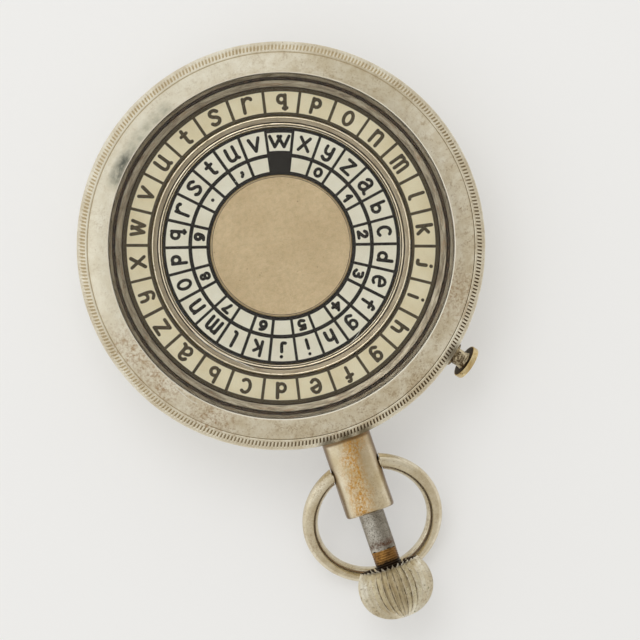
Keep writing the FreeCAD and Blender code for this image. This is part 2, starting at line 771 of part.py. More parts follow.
def make_step_lever():
    arm = link(lever_pivot, pad_centre, lever_w, lever_z0, lever_z1)
    boss = rod(stud_base_r + boss_step, lever_z0, lever_z1, *lever_pivot)
    pad = rod(pad_r, lever_z0, axis_z + pad_r, *pad_centre)
    lever = arm.fuse([boss, pad])
    holes = [rod(stud_r + run, lever_z0, lever_z1, *lever_pivot),
             rod(pawl_pin_r, lever_z0, lever_z1, *pawl_centre)]
    return lever.cut(holes)


def make_pawl_pin():
    return rod(pawl_pin_r, wheel_z0, lever_z1, *pawl_centre)


def make_pawl():
    cx, cy = pawl_centre
    tip_x = -(wheel_r + pawl_tip_gap)
    chin_y = pawl_tip_y - pawl_nose
    body = prism([(cx - pawl_w / 2, cy), (tip_x - pawl_nose, pawl_tip_y - pawl_nose * 0.7),
                  (tip_x - pawl_nose * 0.4, pawl_tip_y + pawl_nose * 0.2), (tip_x, pawl_tip_y),
                  (tip_x - pawl_nose * 0.1, chin_y), (cx + pawl_w / 2, cy)], wheel_z0, wheel_z1)
    body = body.fuse(rod(pawl_w / 2 + boss_step, wheel_z0, wheel_z1, cx, cy))
    return body.cut(rod(pawl_pin_r + run, wheel_z0, wheel_z1, cx, cy))


def make_pawl_spring():
    """Leaf under the lever that leans on the back of the pawl."""
    cx, cy = pawl_centre
    foot = (lever_pivot_x + pawl_spring_x, lever_pivot_y + pawl_spring_y)
    end = (cx - pawl_w / 2 - leaf_t, cy + pawl_spring_len)
    block = rod(pawl_foot_r, wheel_z0 + leaf_edge, lever_z0, *foot)
    strip = leaf(foot, end, leaf_t, wheel_z0 + leaf_edge, wheel_z1 - leaf_edge)
    return block.fuse(strip)


def make_lever_spring():
    """Leaf on the plate that pushes the step lever back against the shaft."""
    foot = (lever_spring_x, lever_spring_y)
    share = (lever_spring_end_x - lever_pivot_x) / -lever_pivot_x
    edge_y = lever_pivot_y + (pad_y - lever_pivot_y) * share
    end = (lever_spring_end_x, edge_y + lever_w / 2 + leaf_t + 2 * touch)
    block = rod(foot_r, plate_z1, lever_z1, *foot)
    strip = leaf(foot, end, leaf_t, lever_z0 + leaf_edge, lever_z1 - leaf_edge)
    return block.fuse(strip).cut(rod(foot_screw_r, plate_z1, plate_z1 + foot_bite, *foot))


def make_jumper_spring():
    """Leaf on the plate whose nose drops between two teeth of the step wheel."""
    foot = (jumper_x, jumper_y)
    tip = (jumper_tip_x, jumper_tip_y)
    block = rod(foot_r, plate_z1, wheel_z1, *foot)
    strip = leaf(foot, tip, jumper_t, wheel_z0 + leaf_edge, wheel_z1 - leaf_edge)
    nose_y = wheel_r * math.sin(math.radians(jumper_angle))
    share = (nose_y - jumper_y) / (jumper_tip_y - jumper_y)
    root_x = jumper_x + (jumper_tip_x - jumper_x) * share
    angle = math.radians(jumper_angle)
    point_r = wheel_r - tooth_depth + 2 * touch
    point = (point_r * math.cos(angle), point_r * math.sin(angle))
    nose = prism([(root_x, nose_y - nose_half), point, (root_x + touch, nose_y + nose_half)],
                 wheel_z0 + leaf_edge, wheel_z1 - leaf_edge)
    return block.fuse([strip, nose]).cut(rod(foot_screw_r, plate_z1, plate_z1 + foot_bite, *foot))


def make_foot_screws():
    return group([screw(foot_screw_head_r, foot_screw_r, plate_z0, plate_z1 + foot_bite, x, y)
                  for x, y in foot_centres])


def make_release_lever():
    hook = (release_hook_x, release_hook_y)
    arms = link(release_pivot, post_centre, lever_w * 0.75, lever_z0, lever_z1)
    arms = arms.fuse(link(release_pivot, hook, lever_w * 0.6, lever_z0, lever_z1))
    boss = rod(stud_base_r + boss_step, lever_z0, lever_z1, *release_pivot)
    post_z1 = button_line_z(release_post) + release_post_r
    post = rod(release_post_r, lever_z0, post_z1, *post_centre)
    pin = rod(hook_pin_r, wheel_z0 + leaf_edge, lever_z1, *hook)
    lever = arms.fuse([boss, post, pin])
    return lever.cut(rod(stud_r + run, lever_z0, lever_z1, *release_pivot))


# ---------------------------------------------------------------- side button
def make_side_button():
    far = button_face + button_head_t
    edge_r = button_head_r - button_edge
    body = lathe([
        (0, button_tip), (button_pin_r, button_tip), (button_pin_r, button_shaft_in),
        (button_shaft_r, button_shaft_in), (button_shaft_r, button_face),
        (edge_r, button_face),
        ((button_head_r, button_face + button_head_t * 0.35), (edge_r, far - button_edge)),
        (edge_r - 2 * button_edge, far), (0, far)])
    return on_button(body)


def make_button_collar():
    z1 = bushing_in - seat_gap
    return on_button(pipe(button_collar_r, button_shaft_r, z1 - button_collar_w, z1))


def make_button_bushing():
    sleeve = rod(bushing_r, bushing_in, bushing_end)
    flange = rod(bushing_flange_r, band_r - past, bushing_end)
    flange = on_button(flange).cut(band_envelope())
    bushing = on_button(sleeve).fuse(flange)
    return bushing.cut(on_button(rod(button_shaft_r + run, bushing_in - past, bushing_end + past)))


def make_button_bracket():
    far = bracket_at + bracket_t
    plate = Part.makeBox(2 * bracket_half, bracket_t, button_line_z(far) + bracket_above - plate_z1,
                         vec(-bracket_half, -far, plate_z1))
    foot = Part.makeBox(2 * bracket_half, bracket_foot_len, bracket_t,
                        vec(-bracket_half, -bracket_at, plate_z1))
    body = turned(plate.fuse(foot), button_angle)
    body = body.cut(on_button(rod(button_pin_r + 2 * run, bracket_at - past, far + past)))
    return body.cut(rod(foot_screw_r, plate_z1, plate_z1 + foot_bite, *foot_centres[2]))


def make_button_spring():
    lean = (button_mean_r + button_wire_r) * math.sin(math.radians(button_dip))
    return on_button(coil(button_mean_r, button_wire_r, bracket_at + bracket_t + seat_gap + lean,
                          button_shaft_in + button_collar_lap, button_turns))


# ---------------------------------------------------------------- places shared by the pieces
def button_line_z(at):
    """Height of the side button's line at a distance from the case axis."""
    return button_z + (band_r - at) * math.tan(math.radians(button_dip))


plate_screw_at = plate_r - plate_screw_edge
plate_screw_angles = (0, 120, 240)
arbor_z1 = disc_z0 + seat_gap
lever_pivot = (lever_pivot_x, lever_pivot_y)
release_pivot = (release_x, release_y)
pad_centre = (0.0, pad_y)
pawl_centre = (lever_pivot_x + pawl_arm * math.cos(lever_half_angle),
               lever_pivot_y - pawl_arm * math.sin(lever_half_angle))
button_dir = (math.sin(math.radians(button_angle)), -math.cos(math.radians(button_angle)))
post_centre = (release_post * button_dir[0], release_post * button_dir[1])
bearing_centres = (outer_bearing_at + bearing_len / 2, inner_bearing_at + bearing_len / 2)
bracket_foot = bracket_at - bracket_foot_len / 2
foot_centres = ((jumper_x, jumper_y), (lever_spring_x, lever_spring_y),
                (bracket_foot * button_dir[0], bracket_foot * button_dir[1]))
button_collar_lap = bushing_in - seat_gap - button_collar_w - seat_gap - button_shaft_in

PIECES = {
    "back_cover": make_back_cover,
    "case_band": make_case_band,
    "bezel": make_bezel,
    "crystal": make_crystal,
    "rehaut_ring": make_rehaut_ring,
    "ring_seat": make_ring_seat,
    "main_plate": make_main_plate,
    "plate_screws": make_plate_screws,
    "centre_arbor": make_centre_arbor,
    "arbor_screw": make_arbor_screw,
    "hub_washer": make_hub_washer,
    "disc_hub": make_disc_hub,
    "inner_disc": make_inner_disc,
    "inner_letter_face": make_inner_letter_face,
    "centre_disc": make_centre_disc,
    "step_wheel": make_step_wheel,
    "divider_ring": make_divider_ring,
    "divider_pillars": make_divider_pillars,
    "ring_gear": make_ring_gear,
    "outer_letter_face": make_outer_letter_face,
    "winding_pinion": make_winding_pinion,
    "outer_bearing": make_outer_bearing,
    "inner_bearing": make_inner_bearing,
    "bearing_screws": make_bearing_screws,
    "pendant_tube": make_pendant_tube,
    "bow": make_bow,
    "stem": make_stem,
    "stem_end": make_stem_end,
    "crown": make_crown,
    "return_spring": make_return_spring,
    "lever_studs": make_lever_studs,
    "step_lever": make_step_lever,
    "pawl_pin": make_pawl_pin,
    "pawl": make_pawl,
    "pawl_spring": make_pawl_spring,
    "lever_spring": make_lever_spring,
    "jumper_spring": make_jumper_spring,
    "foot_screws": make_foot_screws,
    "release_lever": make_release_lever,
    "side_button": make_side_button,
    "button_collar": make_button_collar,
    "button_bushing": make_button_bushing,
    "button_bracket": make_button_bracket,
    "button_spring": make_button_spring,
}

os.makedirs("parts", exist_ok=True)
for name, make in PIECES.items():
    make().exportStep("parts/" + name + ".step")
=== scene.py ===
"""Pocket cipher device in a worn nickel watch case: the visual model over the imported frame.

Lengths are millimetres in the frame's axes, and become metres in piece(). The finishes' colours are
0..255 display values, and the sky's are linear.
"""
import json
import random
from math import asin, atan2, copysign, cos, degrees, hypot, pi, radians, sin, tan, tau

import bpy
from mathutils import Matrix, Vector


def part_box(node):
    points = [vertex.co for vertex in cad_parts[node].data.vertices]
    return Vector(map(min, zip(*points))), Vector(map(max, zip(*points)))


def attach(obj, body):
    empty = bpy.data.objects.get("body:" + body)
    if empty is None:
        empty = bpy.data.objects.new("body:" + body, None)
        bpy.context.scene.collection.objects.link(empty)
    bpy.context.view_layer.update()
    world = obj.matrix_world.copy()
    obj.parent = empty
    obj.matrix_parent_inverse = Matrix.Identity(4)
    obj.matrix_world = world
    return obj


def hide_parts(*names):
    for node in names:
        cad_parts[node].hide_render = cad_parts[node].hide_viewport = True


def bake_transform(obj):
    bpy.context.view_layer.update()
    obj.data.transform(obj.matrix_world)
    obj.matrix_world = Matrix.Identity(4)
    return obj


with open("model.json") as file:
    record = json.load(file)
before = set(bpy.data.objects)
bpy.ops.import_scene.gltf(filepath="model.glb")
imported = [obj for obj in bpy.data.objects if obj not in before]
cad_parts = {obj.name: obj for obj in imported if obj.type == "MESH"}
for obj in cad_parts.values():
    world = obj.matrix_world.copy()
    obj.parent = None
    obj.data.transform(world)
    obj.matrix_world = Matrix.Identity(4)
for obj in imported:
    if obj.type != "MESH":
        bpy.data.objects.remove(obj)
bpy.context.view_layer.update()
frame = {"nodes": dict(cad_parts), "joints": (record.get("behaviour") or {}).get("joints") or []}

MM = 0.001

# ---- sizes of finishes and ornament
KNURL_COUNT = 349
KNURL_DEPTH = 0.15
KNURL_SHAPE = (0.0, 0.0, 0.0, 0.9, 1.0, 0.6)  # depth along one notch of the coin-edge
KNURL_STEPS = len(KNURL_SHAPE)
KNURL_RIM = 0.27  # plain rim beyond the coin-edge
KNURL_RUN = 0.78
KNURL_SLANT = 0.3  # degrees that a notch turns on its way out
BEAD_R = 0.12
GLASS_RIM = 0.65  # the glass's flange under the bezel
GLASS_RISE = 0.35  # how far the top of the glass is domed
CELLS = 26
CELL_LINE = 0.38  # ink line between two cells
CELL_STEPS = 6  # mesh steps over one cell
OUTER_BORDERS = (16.65, 17.02, 19.67)  # radii where the print changes
INNER_BORDERS = (9.53, 11.33, 11.82, 12.11, 14.41, 14.71)
OUTER_LETTER_R = 18.36
INNER_LETTER_R = 13.24
FIGURE_R = 10.44
OUTER_TOP = "qponmlkjihgfedcbazyxwvutsr"  # clockwise, from the top of the photographed pose
INNER_TOP = "wxyzabcdefghijklmnopqrstuv"
FIGURES = dict(zip(range(2, 26, 2), "0123456789.,"))  # inner cells that have a figure
TALL = "bdfghjklpqty"  # letters that reach above or below the others
OUTER_START = 18.85  # direction of the first outer letter, clockwise from +Y
INNER_START = 17.75
INK_SECTION = 8  # points round one pen stroke
INK_HEIGHT = 0.016
OUTER_PEN = 0.45
INNER_PEN = 0.43
FIGURE_PEN = 0.42
COMMA_PEN = 0.38
FLUTES = 32
FLUTE_DEPTH = 0.58
FLUTE_TINTS = (3, 1, 1, 0, 0, 0, 0, 0, 0, 1, 1, 3)  # materials over one flute, from groove to groove
TOOTH_LENGTH = 0.5  # how far the crown's ridges stand out past its grooves at the rim
CROWN_MOUTH = 0.79  # the rim's share of the crown's greatest radius
THREAD_PITCH = 0.3
THREAD_DEPTH = 0.07
SHANK_TIP_R, SHANK_R = 0.6, 0.66
COLLAR_AT, COLLAR_W = 17.8, 0.7  # stop collar, from the shaft's inner end
BOW_WIRE_R = 1.0
BOW_GAP = 0.09  # between the cut ends of the bow and the tube
BUTTON_HEAD_T = 0.78
BUTTON_TILT = 4.5  # degrees that the head leans from square to its neck
BUTTON_PIN_R, BUTTON_NECK_R = 0.5, 1.07
NECK_RINGS = (24.0, 26.4)  # rings of points along the neck
RETURN_WIRE_R, RETURN_TURNS = 0.14, 9.5
BUTTON_WIRE_R, BUTTON_TURNS = 0.12, 2.5
ROLL = 18.75  # the camera's up direction, clockwise from +Y
VIEW_HEIGHT = 1000.0  # camera above the dial
VIEW_LEAN = 1.1  # degrees that the camera stands to the image's left of the dial's axis
VIEW_WIDTH = 81.6  # field of view at the dial
VIEW_AIM = (1.66, -10.55)
SENSOR = 36.0
SKY_DARK = (0.58, 0.55, 0.49, 1)  # surroundings away from the lamps, and towards them
SKY_BRIGHT = (0.84, 0.84, 0.825, 1)
SKY_GAP = (0.56, 0.54, 0.5, 1)  # darker gap, high up to the image's right
SKY_LOW = (0.98, 0.98, 0.96, 1)  # bright window, low at the image's left
SKY_LIGHT = (0.87, 0.87, 0.87, 1)  # what the camera sees behind the floor
FLOOR_HALF = 1200.0
FLOOR_GLOW = 0.36  # share of the floor's look that takes no shadow


def low(node):
    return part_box(node)[0] / MM


def high(node):
    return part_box(node)[1] / MM


def disc_box(node):
    """Radius, bottom and top of a node that is round about the dial's axis."""
    return high(node).x, low(node).z, high(node).z


def pendant_reach(node):
    """Inner end, outer end and radius of a node along the pendant's direction."""
    return -high(node).y, -low(node).y, high(node).x


def joint(name):
    return next(j for j in frame["joints"] if j["name"] == name)


AXIS_Z = joint("crown_turn")["pos_m"][2] / MM
FACE_Z = high("outer_letter_face").z


# ---- mesh helpers
def piece(name, verts, faces, materials, picks=None, sharp=35.0):
    """Mesh object from millimetre points. picks gives each face's material."""
    mesh = bpy.data.meshes.new(name)
    mesh.from_pydata([Vector(v) * MM for v in verts], [], faces)
    for material in materials:
        mesh.materials.append(material)
    if picks:
        mesh.polygons.foreach_set("material_index", picks)
    mesh.polygons.foreach_set("use_smooth", [True] * len(faces))
    mesh.set_sharp_from_angle(angle=radians(sharp))
    mesh.update()
    obj = bpy.data.objects.new(name, mesh)
    bpy.context.collection.objects.link(obj)
    return obj


def place(obj, body, slot, *nodes):
    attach(obj, body)
    if nodes:
        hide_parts(*nodes)


def blended(a, b, t):
    return a + (b - a) * t


def smoothstep(lo, hi, x):
    t = min(1.0, max(0.0, (x - lo) / (hi - lo)))
    return t * t * (3 - 2 * t)


def bezier(a, b, c, steps):
    """Points of a curve from a to c that leans towards b."""
    shares = [k / steps for k in range(steps + 1)]
    return [tuple(a * (1 - t) ** 2 + b * (2 * t * (1 - t)) + c * t ** 2) for t in shares]


def rounded(points, radius, closed=True):
    """Outline with its corners eased. A point may carry its own radius as a third value."""
    result = []
    count = len(points)
    for i, point in enumerate(points):
        here = Vector(point[:2])
        before = Vector(points[i - 1][:2]) - here
        after = Vector(points[(i + 1) % count][:2]) - here
        r = point[2] if len(point) > 2 else radius
        r = min(r, before.length * 0.45, after.length * 0.45)
        if r <= 0 or not closed and i in (0, count - 1):
            result.append(tuple(here))
        else:
            result += bezier(here + before.normalized() * r, here, here + after.normalized() * r, 3)
    return result


def half_round(r, z, radius, rise=1.0):
    """Outline of a bead, from its outer foot to its inner one."""
    bends = [pi * k / 8 for k in range(9)]
    return [(r + radius * cos(bend), z + rise * radius * sin(bend)) for bend in bends]


def lathe(outline, segments, closed=True, shape=None):
    """Points and faces of an outline (r, z) turned about Z. shape(i, turn, r, z) may move a point."""
    verts, rings, faces = [], [], []
    for i, (r, z) in enumerate(outline):
        if r < 1e-6:
            rings.append([len(verts)] * segments)
            verts.append((0.0, 0.0, z))
            continue
        rings.append(range(len(verts), len(verts) + segments))
        for k in range(segments):
            turn = k / segments
            rr, zz = shape(i, turn, r, z) if shape else (r, z)
            verts.append((rr * cos(turn * tau), rr * sin(turn * tau), zz))
    count = len(rings)
    for i in range(count if closed else count - 1):
        a, b = rings[i], rings[(i + 1) % count]
        for k in range(segments):
            n = (k + 1) % segments
            faces.append(tuple(dict.fromkeys((a[k], a[n], b[n], b[k]))))
    return verts, faces


def moved(verts, matrix):
    return [tuple(matrix @ Vector(v)) for v in verts]


def turned(name, outline, segments, materials, tints=(), matrix=Matrix(), sharp=35.0, **ways):
    """Lathed piece. tints gives the material of each row of faces."""
    verts, faces = lathe(outline, segments, **ways)
    picks = [tint for tint in tints for _ in range(segments)]
    return piece(name, moved(verts, matrix), faces, materials, picks, sharp)


def tube_faces(base, count, ring, flip=False):
    """Sides and ends of a tube: count rings of points that follow each other from base."""
    faces = []
    for a in range(base, base + (count - 1) * ring, ring):
        b = a + ring
        for s in range(ring):
            n = (s + 1) % ring
            faces.append((a + s, a + n, b + n, b + s) if flip else (a + s, b + s, b + n, a + n))
    start = tuple(range(base, base + ring))
    end = tuple(range(base + (count - 1) * ring, base + count * ring))
    return faces + ([start[::-1], end] if flip else [start, end[::-1]])


def pendant_matrix():
    """+Z of a turned shape becomes the pendant's direction, -Y."""
    return Matrix.Translation((0, 0, AXIS_Z)) @ Matrix.Rotation(radians(90), 4, "X")


def button_line():
    """A point on the side button's axis, and its outward direction."""
    out = -Vector(joint("side_button_press")["axis"])
    collar = (low("button_collar") + high("button_collar")) / 2
    return collar - out * (collar.to_2d().length / out.to_2d().length), out


def button_matrix():
    """+Z of a turned shape becomes the side button's direction."""
    foot, out = button_line()
    side = out.cross(Vector((0, 0, 1))).normalized()
    return Matrix.Translation(foot) @ Matrix((side, side.cross(-out), out)).transposed().to_4x4()


def button_reach(node, wider=0.0):
    """Inner end, outer end and greatest radius of a node along the side button's axis, without what
    lies within a radius of that axis."""
    foot, out = button_line()
    points = [v.co / MM - foot for v in frame["nodes"][node].data.vertices]
    spots = [(p.dot(out), (p - out * p.dot(out)).length) for p in points]
    alongs, radii = zip(*(spot for spot in spots if spot[1] > wider))
    return min(alongs), max(alongs), max(radii)


# ---- materials
def srgb(r, g, b):
    """Linear colour from 0..255 display values."""
    def linear(c):
        c /= 255
        return c / 12.92 if c <= 0.04045 else ((c + 0.055) / 1.055) ** 2.4
    return (linear(r), linear(g), linear(b), 1.0)


class Tree:
    """A node tree, with short ways to add to it."""

    def __init__(self, tree):
        self.nodes, self.links = tree.nodes, tree.links

    def feed(self, socket, value):
        if isinstance(value, bpy.types.NodeSocket):
            self.links.new(value, socket)
        else:
            socket.default_value = value

    def add(self, kind, inputs, output=0, **settings):
        """One output of a new node."""
        node = self.nodes.new("ShaderNode" + kind)
        for name, value in settings.items():
            setattr(node, name, value)
        for key, value in inputs.items():
            self.feed(node.inputs[key], value)
        return node.outputs[output]

    def rays(self):
        return self.nodes.new("ShaderNodeLightPath").outputs

    def span(self, value, lo, hi, top=1.0, bottom=0.0, curve="LINEAR"):
        """bottom while a value is under lo, rising to top at hi."""
        ends = {"From Min": lo, "From Max": hi, "To Min": bottom, "To Max": top}
        return self.add("MapRange", {"Value": value, **ends}, interpolation_type=curve)

    def calc(self, operation, a, b=0.0):
        return self.add("Math", {0: a, 1: b}, operation=operation)

    def times(self, a, b):
        return self.calc("MULTIPLY", a, b)

    def mix(self, factor, a, b):
        return self.add("Mix", {0: factor, 6: a, 7: b}, 2, data_type="RGBA")


class Finish(Tree):
    """One material's node tree, with coordinates in millimetres and the colour so far."""

    def __init__(self, name):
        self.material = bpy.data.materials.new(name)
        self.material.use_nodes = True
        super().__init__(self.material.node_tree)
        self.shader = self.nodes["Principled BSDF"]
        self.mm = self.stretched(self.add("TexCoord", {}, "Object"), (1 / MM, 1 / MM, 1 / MM))

    def stretched(self, vector, scale, turn=0.0):
        turn = (0, 0, radians(turn))
        return self.add("Mapping", {"Vector": vector, "Scale": scale, "Rotation": turn})

    def noise(self, scale, detail, rough, vector=None, warp=0.0):
        return self.add("TexNoise", {"Vector": vector or self.mm, "Scale": scale, "Detail": detail,
                                     "Roughness": rough, "Distortion": warp}, "Fac")

    def patches(self, noise, lo, hi, amount=1.0, **more):
        """0 where a noise is under lo, rising to an amount at hi."""
        return self.span(self.noise(*noise, **more), lo, hi, amount)

    def near(self, point, radius, soft=0.5):
        """1 close to a point, falling to 0 at the radius."""
        away = self.add("VectorMath", {0: self.mm, 1: point}, "Value", operation="DISTANCE")
        return self.span(away, radius, radius * soft)

    def xyz(self):
        x, y, z = self.nodes.new("ShaderNodeSeparateXYZ").outputs
        self.feed(x.node.inputs[0], self.mm)
        return x, y, z

    def round_axis(self, across, along):
        """Coordinates for marks that run round the case: across per mm of radius and height, along
        per radian."""
        x, y, z = self.xyz()
        r = self.calc("SQRT", self.calc("ADD", self.times(x, x), self.times(y, y)))
        rise = self.times(self.calc("ADD", r, z), across / along)
        join = {0: self.calc("DIVIDE", x, r), 1: self.calc("DIVIDE", y, r), 2: rise}
        return self.stretched(self.add("CombineXYZ", join), (along, along, along))

    def relief(self, height, depth, strength):
        """Bump from a 0..1 height over a depth in millimetres, on top of what is there."""
        normal = self.shader.inputs["Normal"]
        inputs = {"Strength": strength, "Distance": depth * MM, "Height": height}
        if normal.is_linked:
            inputs["Normal"] = normal.links[0].from_socket
        self.feed(normal, self.add("Bump", inputs))

    def ground(self, factor, a, b):
        """First colour, from tone a at factor 0 to tone b at 1."""
        self.colour = self.mix(factor, srgb(*a), srgb(*b))

    def coat(self, factor, tone):
        """Lays a tone over the colour so far."""
        self.colour = self.mix(factor, self.colour, srgb(*tone))

    def set(self, **values):
        for name, value in values.items():
            self.feed(self.shader.inputs[name.replace("_", " ").title().replace("Ior", "IOR")], value)

    def done(self, **values):
        self.set(base_color=self.colour, **values)
        return self.material

    def shared(self, share, other):
        """The material, once another shader has taken a share of its surface."""
        join = self.add("MixShader", {0: share, 1: self.shader.outputs[0], 2: other})
        self.feed(self.nodes["Material Output"].inputs["Surface"], join)
        return self.material


def finish(build):
    """The material that a function describes, under the function's name."""
    f = Finish(build.__name__)
    build(f)
    return f.material


NICKEL_PALE = (246, 240, 222)
NICKEL_MID = (222, 210, 184)
NICKEL_BROWN = (150, 116, 72)


def worn_nickel(name, pale, mid, brown, stain=0.5, grime_and_shade=1.0, gloss=0.36, turned=False):
    """Nickel silver with cloudy tarnish, grainy wear, brown specks and fine scratches.
    turned makes the grain run round the case."""
    f = Finish(name)
    cloud = f.noise(0.3, 6, 0.68)
    f.ground(f.span(cloud, 0.38, 0.62), pale, mid)
    lay = f.round_axis(2.6, 26.0) if turned else f.stretched(f.mm, (2.4, 3.6, 3.0), ROLL)
    grain = f.noise(1.0, 5, 0.8, lay)
    f.coat(f.span(grain, 0.46, 0.6, 0.6 * grime_and_shade), mid)
    f.coat(f.span(grain, 0.56, 0.7, 0.5 * grime_and_shade), brown)
    f.coat(f.span(grain, 0.44, 0.34, 0.6 * grime_and_shade), pale)
    cluster = f.patches((0.28, 4, 0.65), 0.5, 0.62, stain, warp=1.2)
    f.coat(f.times(f.patches((3.6, 4, 0.8), 0.5, 0.62), cluster), brown)
    f.coat(f.patches((7.0, 2, 0.5), 0.66, 0.72, 0.7), brown)
    f.set(metallic=1.0, roughness=f.span(cloud, 0.3, 0.7, gloss + 0.06, gloss - 0.05))
    f.relief(grain, 0.012, 0.5 * grime_and_shade)
    f.relief(f.noise(14.0, 2, 0.5), 0.004, 0.5)
    if turned:
        f.relief(f.noise(1.0, 2, 0.5, f.round_axis(9.0, 4.0)), 0.008, 0.35)
    return f


def bezel_metal():
    """Bezel slope: paler towards the upper left as painted light from the lit side, with a dark smear there,
    a painted shade on the upper right, and rusty spots below.
    """
    f = worn_nickel("bezel_nickel", NICKEL_PALE, NICKEL_MID, NICKEL_BROWN, 0.6, turned=True)
    x, y, z = f.xyz()
    # Painted light: a paler coat towards the upper left, the side the light comes from.
    f.coat(f.span(f.calc("SUBTRACT", f.times(y, 0.8), x), 6.0, 26.0, 0.55), (232, 226, 206))
    # Painted shade: a darker olive patch on the upper right of the slope.
    f.coat(f.times(f.near((16.6, 16.6, 13.5), 12.0, 0.3), 0.4), (176, 160, 124))
    smears = ((112, 140, 1.5, (184, 181, 162)), (132, 138, 1.4, (106, 107, 98)))
    for first, last, width, tone in smears:
        smear = 0.0
        for k in range(8):
            angle = radians(blended(first, last, k / 7))
            spot = (22.7 * cos(angle), 22.7 * sin(angle), 13.6)
            smear = f.calc("MAXIMUM", smear, f.near(spot, width, 0.1))
        streaks = f.span(f.noise(1.0, 5, 0.7, f.round_axis(2.6, 18.0)), 0.32, 0.6, 1.0, 0.35)
        f.coat(f.times(smear, streaks), tone)
    for x, y in ((-19.9, -11.4), (-22.5, -6.5), (-15.7, -18.1), (18.7, -13.0)):
        rust = f.times(f.near((x, y, 13.0), 4.6, 0.2), f.patches((1.9, 5, 0.8), 0.47, 0.62))
        f.coat(f.times(rust, 0.75), (160, 118, 66))
    return f.done()


# Burnished metal for the bezel's crest; its pale colour is also a painted highlight along the edge.
@finish
def burnished_edge_and_highlight(f):
    f.ground(f.noise(1.0, 4, 0.7, f.round_axis(4.0, 20.0)), (255, 251, 240), (232, 222, 198))
    f.relief(f.noise(6.0, 3, 0.6), 0.004, 0.5)
    f.done(metallic=0.6, roughness=0.2)


def grooved_metal():
    """Coin-edge, with grime and painted shade beside the side button and along the pendant's root, where the
    parts meet the rim.
    """
    f = worn_nickel("coin_edge_nickel", NICKEL_PALE, NICKEL_MID, NICKEL_BROWN, 0.3, 0.4, 0.34)
    foot, out = button_line()
    rim, lip_z = high("bezel").x, low("bezel").z
    beside = foot + out * rim
    # Grime and painted shade: darker where the button's neck and the pendant meet the case under the rim.
    grime_and_shade = f.near((beside.x, beside.y, lip_z - 0.2), 2.1)
    for x in (-2.4, 0.0, 2.4):
        grime_and_shade = f.calc("MAXIMUM", grime_and_shade, f.near((x, -rim, lip_z + 0.3), 1.7, 0.4))
    f.coat(f.times(grime_and_shade, 0.8), (92, 80, 54))
    return f.done()


@finish
def notch_dirt_and_shade(f):
    """Dirt in the coin-edge, with painted light and shade: pale towards the lit upper left, dark brown
    towards the lower right and the pendant.
    """
    x, y, z = f.xyz()
    # Painted light and shade as well as dirt: paler towards the lit upper left, darker towards the lower
    # right.
    dirtier_and_shadier = f.span(f.calc("SUBTRACT", f.times(x, 0.55), f.times(y, 0.85)), -4.0, 22.0)
    cloud = f.noise(0.6, 4, 0.7)
    pale = f.mix(cloud, srgb(222, 208, 176), srgb(172, 150, 112))
    dark = f.mix(cloud, srgb(114, 92, 62), srgb(52, 39, 24))
    f.colour = f.mix(dirtier_and_shadier, pale, dark)
    f.done(metallic=0.8, roughness=0.45)


@finish
def wall_metal(f):
    """Oxidised ring under the glass: mauve grey with brown streaks that run round it."""
    streak = f.noise(1.0, 5, 0.7, f.round_axis(2.2, 7.0), warp=0.8)
    f.ground(f.span(streak, 0.38, 0.6), (176, 166, 144), (116, 104, 84))
    f.coat(f.patches((1.0, 4, 0.8, f.round_axis(3.0, 9.0)), 0.54, 0.68, 0.7), (140, 100, 62))
    grit = f.noise(9.0, 3, 0.7)
    f.coat(f.span(grit, 0.45, 0.8, 0.5), (196, 190, 178))
    f.relief(grit, 0.02, 0.6)
    f.relief(streak, 0.03, 0.5)
    f.done(metallic=0.85, roughness=f.span(streak, 0.3, 0.7, 0.55, 0.38))


@finish
def divider_metal(f):
    streak = f.noise(1.0, 4, 0.6, f.round_axis(6.0, 6.0))
    f.ground(f.span(streak, 0.35, 0.65), (248, 238, 216), (220, 206, 176))
    f.coat(f.patches((0.8, 4, 0.75), 0.56, 0.72, 0.7, warp=0.5), (120, 92, 58))
    f.relief(streak, 0.006, 0.5)
    f.done(metallic=0.95, roughness=0.22)


@finish
def divider_band_metal(f):
    streak = f.noise(1.0, 4, 0.7, f.round_axis(5.0, 7.0))
    f.ground(f.span(streak, 0.35, 0.65), (172, 161, 140), (138, 124, 102))
    f.relief(streak, 0.012, 0.5)
    f.done(metallic=0.95, roughness=0.36)


# Dark colour for creases and fine turned lines; along the wall's outer edge, under the bezel, it is a painted
# shadow.
@finish
def dark_crease(f):
    f.ground(f.patches((2.0, 3, 0.6), 0.35, 0.65), (48, 38, 28), (86, 68, 46))
    f.done(metallic=0.4, roughness=0.6)


def paper(name, tone, shade):
    """Printed cell ground with a faint grain and slight yellowing."""
    f = Finish(name)
    f.ground(f.patches((0.3, 4, 0.6), 0.35, 0.7), tone, shade)
    f.coat(f.patches((11.0, 2, 0.6), 0.4, 0.8, 0.25), shade)
    f.coat(f.patches((6.0, 2, 0.6), 0.74, 0.78, 0.5), (150, 132, 98))
    f.relief(f.noise(18.0, 2, 0.5), 0.004, 0.4)
    return f.done(roughness=0.55, specular_ior_level=0.3)


def ink(name, tone, worn):
    f = Finish(name)
    f.ground(f.patches((3.5, 4, 0.7), 0.42, 0.75, 0.6), tone, worn)
    f.coat(f.patches((0.35, 3, 0.6), 0.4, 0.7, 0.4), worn)
    f.relief(f.noise(9.0, 2, 0.6), 0.006, 0.5)
    return f.done(roughness=0.6, specular_ior_level=0.15)


